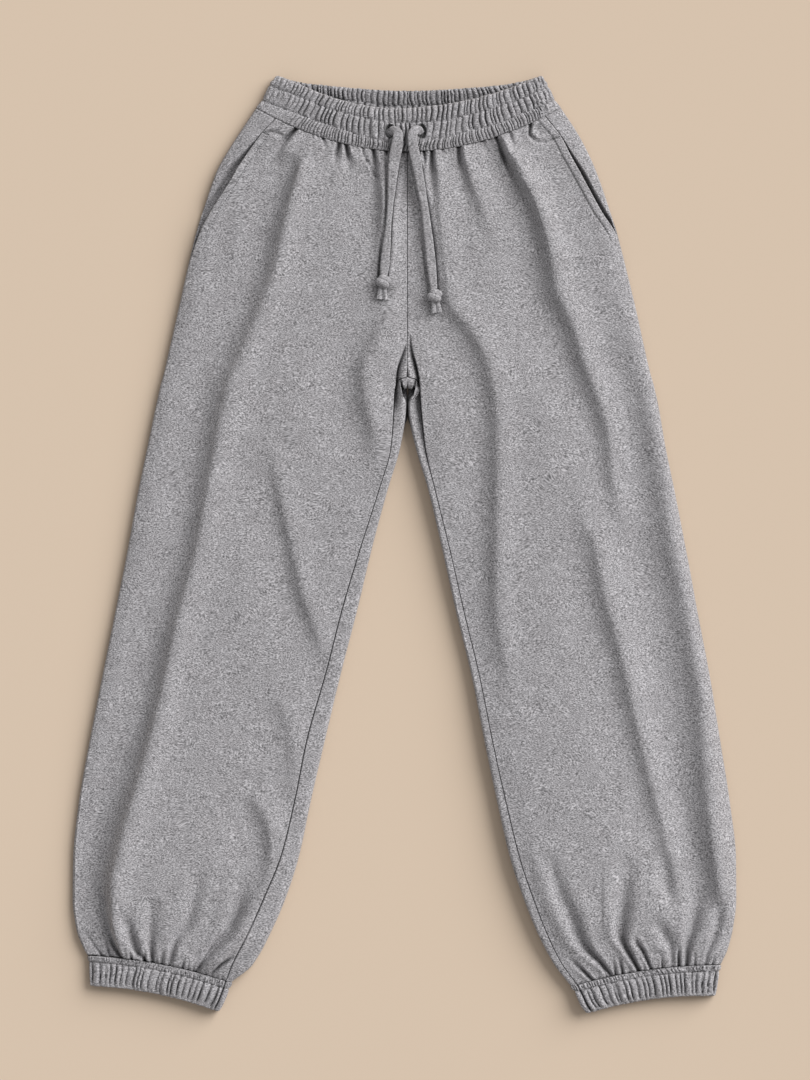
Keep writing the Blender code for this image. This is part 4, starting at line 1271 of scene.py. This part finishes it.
def make_front(side, rows, material):
    """The front panel, from the pocket's hem or the side seam to the centre seam or the inseam. Also its
    points and normals, and how far each point lies in from the pocket's hem."""
    start = np.maximum(rows["pocket"] + SEAM_GAP / 2.0 * smooth(rows["pocket"]), EDGE_START)
    distance = top_distances(start, rows["length"] - SEAM_GAP / 2.0, *FRONT_GRID)
    points = top_surface(rows, distance)
    x, y = points[..., 0], points[..., 1]
    relief = cloth_relief(x, y, rows, side) * swell(distance, OUTER_RUN) + hollow_relief(x, y, side, 0.0)
    in_hem = distance - rows["pocket"]
    to_fold = in_hem - HEM_WIDE
    hem = HEM_RAISED * (1.0 - smooth((to_fold + HEM_STEP) / (2.0 * HEM_STEP)))
    hem = hem - HEM_FURROW * hump(to_fold, HEM_STEP)
    lift = POCKET_LIFT[side] * pocket_mouth(rows) * (1.0 - smooth(in_hem / POCKET_LIFT_RUN))
    pocket = smooth(rows["pocket"] / 3.0)
    roll = edge_roll(in_hem, HEM_ROLL)
    relief += pocket * (hem - roll) + lift
    to_seam = rows["length"] - distance
    above_fork = rows["seam_y"] - FORK_Y
    relief += (1.0 + FORK_SEAM * hump(above_fork, FORK_SEAM_HALF)) * seam_groove(to_seam)
    relief -= FORK_ARC * hump(above_fork, FORK_ARC_HALF[0]) * hump(to_seam, FORK_ARC_HALF[1])
    relief += WAIST_SEAM * seam_groove(rows["place"])
    relief += LEG_END_SEAM * seam_groove(rows["place"][-1] - rows["place"])
    wall = WALL - pocket * HEM_ROLL * roll
    made, outside, normals = panel_object(f"front_{side}_cloth", points, relief, wall, side, material)
    return made, (outside, normals, in_hem)


def inner_wrap(legs, side):
    """The back's stretch inside the inseam and round the inner fold, and its relief. Its edge is turned in
    under the front."""
    angles = wrap_angles()
    wrap = wrap_surface(legs, angles)
    x, y = wrap[..., 0], wrap[..., 1]
    steps = np.linalg.norm(np.diff(wrap, axis=1), axis=-1)
    to_seam = np.concatenate([np.zeros_like(x[:, :1]), np.cumsum(steps, axis=1)], axis=1)
    shown = np.clip(np.sin(angles), 0.0, 1.0)
    shared = cloth_relief(x, y, legs, side) * shown
    relief = shared + seam_groove(to_seam) + crease_relief(x, y, TONGUE)
    relief += hollow_relief(x, y, side, 1.0) * shown
    front_relief = shared[:, :1] + hollow_relief(x[:, :1], y[:, :1], side, 0.0)
    seam = wrap[:, :1]
    outward = unit((seam - wrap[:, 2:3]) * (1.0, 1.0, 0.0))
    turned = seam + outward * np.array(SEAM_TURN)[None, :, None]
    under = np.minimum(relief[:, :1] - SEAM_TUCK, front_relief - WALL - SEAM_DEPTH - TUCK_CLEAR)
    return (np.concatenate([turned, wrap], axis=1),
            np.concatenate([np.repeat(under, len(SEAM_TURN), axis=1), relief], axis=1))


def make_back(side, rows, fork, material):
    """The back panel: the stretch that shows inside the inseam, the underside, and the turn up to the side
    seam."""
    turns = BACK_TURNS.copy()
    turns[-1] -= SEAM_GAP / 2.0 / FOLD_RADIUS
    floor = floor_surface(rows, FLOOR_COLUMNS["back"], turns)
    wrap, wrap_relief = inner_wrap({name: values[fork:] for name, values in rows.items()}, side)
    floor_index = numbered(floor.shape[:2])
    wrap_index = numbered(wrap.shape[:2], floor_index.size)
    wrap_index = np.concatenate([wrap_index, floor_index[fork:, :1]], axis=1)
    quads = flipped(np.concatenate([grid_quads(floor_index), grid_quads(wrap_index)]), side)
    floor_relief = -under_folds(floor[..., 0], floor[..., 1], side)
    relief = np.concatenate([floor_relief.reshape(-1), wrap_relief.reshape(-1)])
    points = np.concatenate([floor.reshape(-1, 3), wrap.reshape(-1, 3)])
    wall = np.full(len(points), WALL)
    return wall_object(f"back_{side}_cloth", points, quads, relief, wall, material)[0]


def make_facing(side, rows, material):
    """The pocket facing that shows beside the front's slanted hem, tucked under it."""
    share = np.linspace(0.0, 1.0, FACING_COLUMNS)[None, :]
    distance = lerp(EDGE_START, rows["pocket"] + TUCK, share * share * (1.6 - 0.6 * share))
    points = top_surface(rows, distance)
    depth, width, steep = POCKET_GAPE[side]
    mouth = pocket_mouth(rows)
    fall = lerp(POCKET_FALL, width, mouth)
    dropped = smooth((distance - rows["pocket"] + fall) / (steep * fall + 1.0))
    points[..., 2] = np.maximum(points[..., 2] - lerp(POCKET_SINK, depth, mouth) * dropped, POCKET_FLOOR)
    relief = 0.3 * ripple(points[..., 0], points[..., 1], 25.0, 14) * swell(distance, OUTER_RUN)
    relief += WAIST_SEAM * seam_groove(rows["place"])
    wall = np.full(relief.shape, WALL)
    return panel_object(f"pocket_facing_{side}_cloth", points, relief, wall, side, material)[0]


# Gathered bands. down: share of the way down one, from the waistband's open edge or from the cuff's seam.

def gathered(down, place, length, stops, pitches, depths, seed, hem=0.02):
    """Relief of gathered rows between lines of stitches. place: distance round the band. The ridges die out
    in the last share of the way down, the hem."""
    relief = np.zeros(down.shape)
    limits = (0.0, *stops, 1.0)
    for order, (start, end) in enumerate(zip(limits, limits[1:])):
        inside = (down >= start) & (down <= end)
        within = (down - start) / (end - start)
        slanted = place + 1.6 * (within - 0.5) + 0.7 * np.sin(place / 23.0 + 5.0 * within + order)
        ridge = ridges(slanted, length, pitches[order], seed + order)
        relief = np.where(inside, depths[order] * (0.35 + 0.65 * puffed(within)) * (ridge - 0.8), relief)
    return relief * smooth((1.0 - down) / hem)


def puffed_rows(down, limits):
    """The roll that each row makes between its limits. A limit past the band's edge leaves the roll open
    there."""
    relief = np.zeros(down.shape)
    for start, end in zip(limits, limits[1:]):
        within = (down - start) / (end - start)
        inside = (within >= 0.0) & (within <= 1.0)
        relief = np.where(inside, PUFF * (puffed(within) - 0.6), relief)
    return relief


def scalloped(points, place, length, pitch, seed, edge):
    """The ring with its open edge drawn in at each slit. edge: share of the way to it, 1 at it."""
    ahead = unit(points[0] - points[1] if edge[0, 0] > edge[-1, 0] else points[-1] - points[-2])
    drawn = SCALLOP * (1.0 - ridges(place[0], length, pitch, seed))
    return points - ahead[None, :, :] * (drawn[None, :] * smooth(edge * 5.0 - 4.0))[..., None]


def stitch_groove(down, stops, high):
    """Narrow furrows under lines of stitches, on a band of this height."""
    return sum(-STITCH_FURROW * hump((down - stop) * high, FURROW_HALF) for stop in stops)


def ring_places(points):
    """Distance round the middle row of a ring, for all of its points, and the whole length."""
    middle = points[len(points) // 2]
    round_trip = along_points(np.concatenate([middle, middle[:1]]))
    return np.broadcast_to(round_trip[:-1], points.shape[:2]), round_trip[-1]


def band_ring(share):
    """The waistband's ring of points, with rows at these shares of its height, and that height: right
    underside and top, then left top and underside."""
    halves = []
    for side in (RIGHT, LEFT):
        stations = hip_stations(BAND_ROWS + HIP_ROWS[:1], side)
        high = outer_distance(stations)[-1]
        rows = read_rows(stations, share * (high - WAIST_GAP / 2.0))
        distance = top_distances(np.zeros_like(rows["length"]), rows["length"], *BAND_GRID)
        floor = floor_surface(rows, FLOOR_COLUMNS["band"], RING_TURNS)
        halves.append((floor, top_surface(rows, distance), high))
    (floor, top, high), (left_floor, left_top, left_high) = halves
    ring = np.concatenate([floor, top[:, :-1], left_top[:, ::-1], left_floor[:, :0:-1]], axis=1)
    return ring, max(high, left_high)


def shaped_opening(points, down):
    """The band's ring with its open edge moved towards the waist or away from it, as the table says, and its
    corners rounded."""
    read = read_table(OPENING, points[..., 0].reshape(-1)).reshape(*points.shape[:2], 2)
    front = smooth((points[..., 2] - FOLD_RADIUS) / 5.0)
    corner = np.clip((np.abs(points[..., 0] - CORNER_MIDDLE) - CORNER_OUT) / CORNER_RUN, 0.0, 1.0)
    moved = points.copy()
    moved[..., 1] += lerp(read[..., 1], read[..., 0], front) * (1.0 - smooth(down / 0.6))
    moved[..., 1] -= edge_roll(CORNER_RUN * (1.0 - corner), CORNER_RUN) * (1.0 - smooth(down / 0.3))
    return moved


def lifted_back(points, down):
    """The band's ring with the back's open edge standing off the floor."""
    middle = smooth((BACK_REACH - np.abs(points[..., 0] - CENTRE_X)) / BACK_RUN)
    behind = smooth((FOLD_RADIUS + 1.0 - points[..., 2]) / 3.0)
    raised = points.copy()
    raised[..., 2] += BACK_LIFT * middle * behind * (1.0 - smooth(down / 0.7))
    return raised


def make_waistband(material):
    """The elastic waistband: three gathered rows between lines of stitches, open at the top."""
    share = np.linspace(0.0, 1.0, BAND_ROW_COUNT)
    points, high = band_ring(share)
    down = np.broadcast_to(share[:, None], points.shape[:2])
    place, length = ring_places(points)
    points = scalloped(points, place, length, BAND_PITCHES[0], BAND_SEED, 1.0 - down)
    points = shaped_opening(points, down)
    lifted = smooth((points[..., 2] - 1.0) / 6.0)
    points = lifted_back(points, down)
    x, y = points[..., 0], points[..., 1]
    sides = smooth(np.minimum((x - RIGHT_RIBS[0]) / RIGHT_RIBS[1], (LEFT_RIBS[0] - x) / LEFT_RIBS[1]))
    stitch_x, *stitch_lines = np.transpose(BAND_STITCHES)
    stops = [np.interp(x, stitch_x, line) for line in stitch_lines]
    furrows = stitch_groove(down, stops, high)
    rolls = puffed_rows(down, (0.0, *stops, BAND_LAST_ROLL))
    ribs = (down, place, length, stops, BAND_PITCHES, BAND_DEPTHS)
    relief = gathered(*ribs, BAND_SEED) * lerp(SIDE_RIBS, 1.0, sides) + furrows + rolls
    under = UNDER_RIBS * np.minimum(relief, 0.0) * (1.0 - lifted)
    for hole_x, hole_y in HOLE_PLACES.values():
        away = np.hypot(x - hole_x, (y - hole_y) * HOLE_SQUASH)
        calm = 1.0 - 0.7 * hump(away, HOLE_CALM)
        relief = relief * calm - HOLE_DEPTH * smooth((HOLE_WIDE - away) / HOLE_SLOPE)
    roll = edge_roll(down * high, BAND_ROLL)
    relief = relief * lifted + under - roll + WAIST_SEAM * seam_groove((1.0 - down) * high) * lifted
    inner = gathered(*ribs, BAND_INSIDE_SEED) + furrows + 0.5 * rolls
    wall = np.maximum(BAND_WALL + inner * (1.0 - lifted) + under - WALL_ROLL * roll, LEAST_WALL)
    return ring_object("waistband_cloth", points, relief, wall, RIGHT, material)


def make_cuff(side, material):
    """An elastic cuff: a narrow and a wide gathered row, open at the hem."""
    stations = leg_stations(CUFF_ROWS[side])
    high = outer_distance(stations)[-1]
    rows = read_rows(stations, np.linspace(WAIST_GAP / 2.0, high, CUFF_ROW_COUNT))
    distance = top_distances(np.zeros_like(rows["length"]), rows["length"], *CUFF_GRID)
    points = np.concatenate([wrap_surface(rows, wrap_angles()),
                             floor_surface(rows, FLOOR_COLUMNS["cuff"], RING_TURNS),
                             top_surface(rows, distance)[:, :-1]], axis=1)
    down = np.broadcast_to(rows["place"] / high, points.shape[:2])
    place, length = ring_places(points)
    seed = CUFF_SEEDS[side]
    points = scalloped(points, place, length, CUFF_PITCHES[1], seed + 1, down)
    lifted = smooth((points[..., 2] - 1.0) / 5.0)
    pleats = gathered(down, place, length, (CUFF_STITCH,), CUFF_PITCHES, CUFF_DEPTHS, seed, CUFF_HEM)
    pleats += stitch_groove(down, (CUFF_STITCH,), high)
    pleats += puffed_rows(down, (CUFF_FIRST_ROLL, CUFF_STITCH, 1.0))
    pleats -= CUFF_SEAM * hump(np.minimum(place, length - place), CUFF_SEAM_HALF)
    roll = edge_roll((1.0 - down) * high, CUFF_ROLL)
    under = UNDER_RIBS * np.minimum(pleats, 0.0) * (1.0 - lifted)
    relief = pleats * lifted + under - roll + seam_groove(down * high) * lifted
    wall = np.maximum(CUFF_WALL + 0.6 * pleats * (1.0 - lifted) + under - WALL_ROLL * roll, LEAST_WALL)
    return ring_object(f"cuff_{side}_cloth", points, relief, wall, side, material)[0]


# Threads

def hem_line(grid, low, high):
    """Points and normals of a panel along its hem's line of stitches, between two heights on the table."""
    outside, normals, in_hem = grid
    columns = np.arange(in_hem.shape[1])
    place = np.array([np.interp(HEM_STITCHED, row, columns) for row in in_hem])
    rows = np.arange(len(place))
    near = np.floor(place).astype(int)
    share = (place - near)[:, None]
    line, ups = (lerp(values[rows, near], values[rows, near + 1], share) for values in (outside, normals))
    kept = (line[:, 1] > low) & (line[:, 1] < high)
    return line[kept], ups[kept]


def joined_stitches(name, runs, radius, material):
    """One mesh of all the stitches of these runs."""
    starts, ends, ups = (np.concatenate(values) for values in zip(*runs))
    made = stitches(name, starts, ends, ups, radius, material)
    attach(made, "root")
    return made


def make_hem_stitches(side, grid, material):
    """The pocket hem's topstitching and the bartack across its top end."""
    line, ups = hem_line(grid, POCKET_END, BARTACK_Y[side])
    runs = [stitch_run(line, ups, STITCH_PITCH, STITCH_GAP)]
    outside, normals, in_hem = grid
    row = np.argmin(np.linalg.norm(outside - line[0], axis=-1).min(axis=1))
    crossed = (in_hem[row] > 0.3) & (in_hem[row] < HEM_STITCHED)
    bar, bar_ups = outside[row, crossed], normals[row, crossed]
    for offset in (-BARTACK_WIDE / 2.0, BARTACK_WIDE / 2.0):
        path = bar + unit(line[0] - line[4]) * offset + bar_ups * BARTACK_RAISED
        runs.append(stitch_run(path, bar_ups, BARTACK_PITCH, BARTACK_GAP))
    joined_stitches(f"hem_stitches_{side}", runs, STITCH_RADIUS, material)


def make_buttonhole(side, outside, normals, material):
    """The stitched edge of the hole that the drawstring comes out of: short threads all round it."""
    turns = round_turns(HOLE_THREADS)
    ring = np.stack([np.cos(turns) * HOLE_RING[0], np.sin(turns) * HOLE_RING[1]], axis=1)
    front = outside[..., 2] > FOLD_RADIUS + 2.0
    rim = []
    for reach in HOLE_REACHES:
        wanted = np.array(HOLE_PLACES[side]) + ring * reach
        found = np.argmin(((outside[front][None, :, :2] - wanted[:, None, :]) ** 2).sum(2), axis=1)
        rim.append((np.column_stack([wanted, outside[front][found, 2]]), normals[front][found]))
    (inner, _), (outer, ups) = rim
    inner[:, 2] = np.minimum(inner[:, 2], outer[:, 2]) - HOLE_THREAD_SUNK
    made = joined_stitches(f"buttonhole_{side}_threads", [(inner, outer, ups)], HOLE_THREAD, material)
    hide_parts(f"buttonhole_{side}")


# Scene

def make_camera():
    """The camera, straight above as in the photograph."""
    camera = bpy.data.cameras.new("camera")
    camera.sensor_fit = "VERTICAL"
    camera.sensor_height = SENSOR
    camera.lens = SENSOR * CAMERA_HIGH / (PICTURE_SCALE * PICTURE_HIGH * MM)
    seen = bpy.data.objects.new("camera", camera)
    seen.location = ((PICTURE_CENTRE[0] + MIDDLE[0]) * MM, (PICTURE_CENTRE[1] + MIDDLE[1]) * MM,
                     CAMERA_HIGH + CLOTH_HIGH * MM)
    bpy.context.scene.collection.objects.link(seen)
    bpy.context.scene.camera = seen


def make_floor():
    corners = np.array([(-1.0, -1.0, 0.0), (1.0, -1.0, 0.0), (1.0, 1.0, 0.0), (-1.0, 1.0, 0.0)])
    floor = mesh_object("floor", corners * FLOOR_SIZE / 2.0 / MM - MIDDLE, [(0, 1, 2, 3)], floor_material())
    return floor


def make_light():
    sun = bpy.data.lights.new("key", "SUN")
    sun.energy = LAMP_POWER
    sun.angle = math.radians(LAMP_SPREAD)
    lamp = bpy.data.objects.new("key", sun)
    lamp.rotation_euler = [math.radians(angle) for angle in LAMP_TILT]
    bpy.context.scene.collection.objects.link(lamp)
    world = bpy.data.worlds.new("studio")
    world.use_nodes = True
    background = world.node_tree.nodes["Background"]
    set_inputs(world.node_tree, background, {"Color": (1.0, 1.0, 1.0, 1.0), "Strength": SKY_POWER})
    bpy.context.scene.world = world
    bpy.context.scene.view_settings.view_transform = "Standard"


def main():
    make_camera()
    fleece = marl_fleece("marl_fleece", CLOTH_TONE)
    band_cloth = marl_fleece("gathered_band", BAND_TONE)
    string_cloth = marl_fleece("drawstring", CLOTH_TONE, STRING_CONTRAST)
    thread = sewing_thread("thread", THREAD_TONE)
    make_drawstrings(string_cloth)
    floor = make_floor()

    sheets = []
    for side in (RIGHT, LEFT):
        stations = body_stations(side)
        places, fork = body_places(stations)
        rows = read_rows(stations, places)
        front, grid = make_front(side, rows, fleece)
        make_hem_stitches(side, grid, thread)
        back = make_back(side, rows, fork, fleece)
        open_rows = {name: values[rows["pocket"][:, 0] > 0.01] for name, values in rows.items()}
        facing = make_facing(side, open_rows, fleece)
        sheets += [(front, "front", f"front_{side}", back), (back, "back", f"back_{side}", floor),
                   (facing, "pocket_facing", f"pocket_facing_{side}", back)]
    band, outside, normals = make_waistband(band_cloth)
    for side in (RIGHT, LEFT):
        make_buttonhole(side, outside, normals, thread)
    sheets.append((band, "waistband", "waistband", floor))
    sheets += [(make_cuff(side, band_cloth), "cuff", f"cuff_{side}", floor) for side in (RIGHT, LEFT)]
    for piece, kind, node, below in sheets:
        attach(piece, "root")
        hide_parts(node)
    make_light()


main()
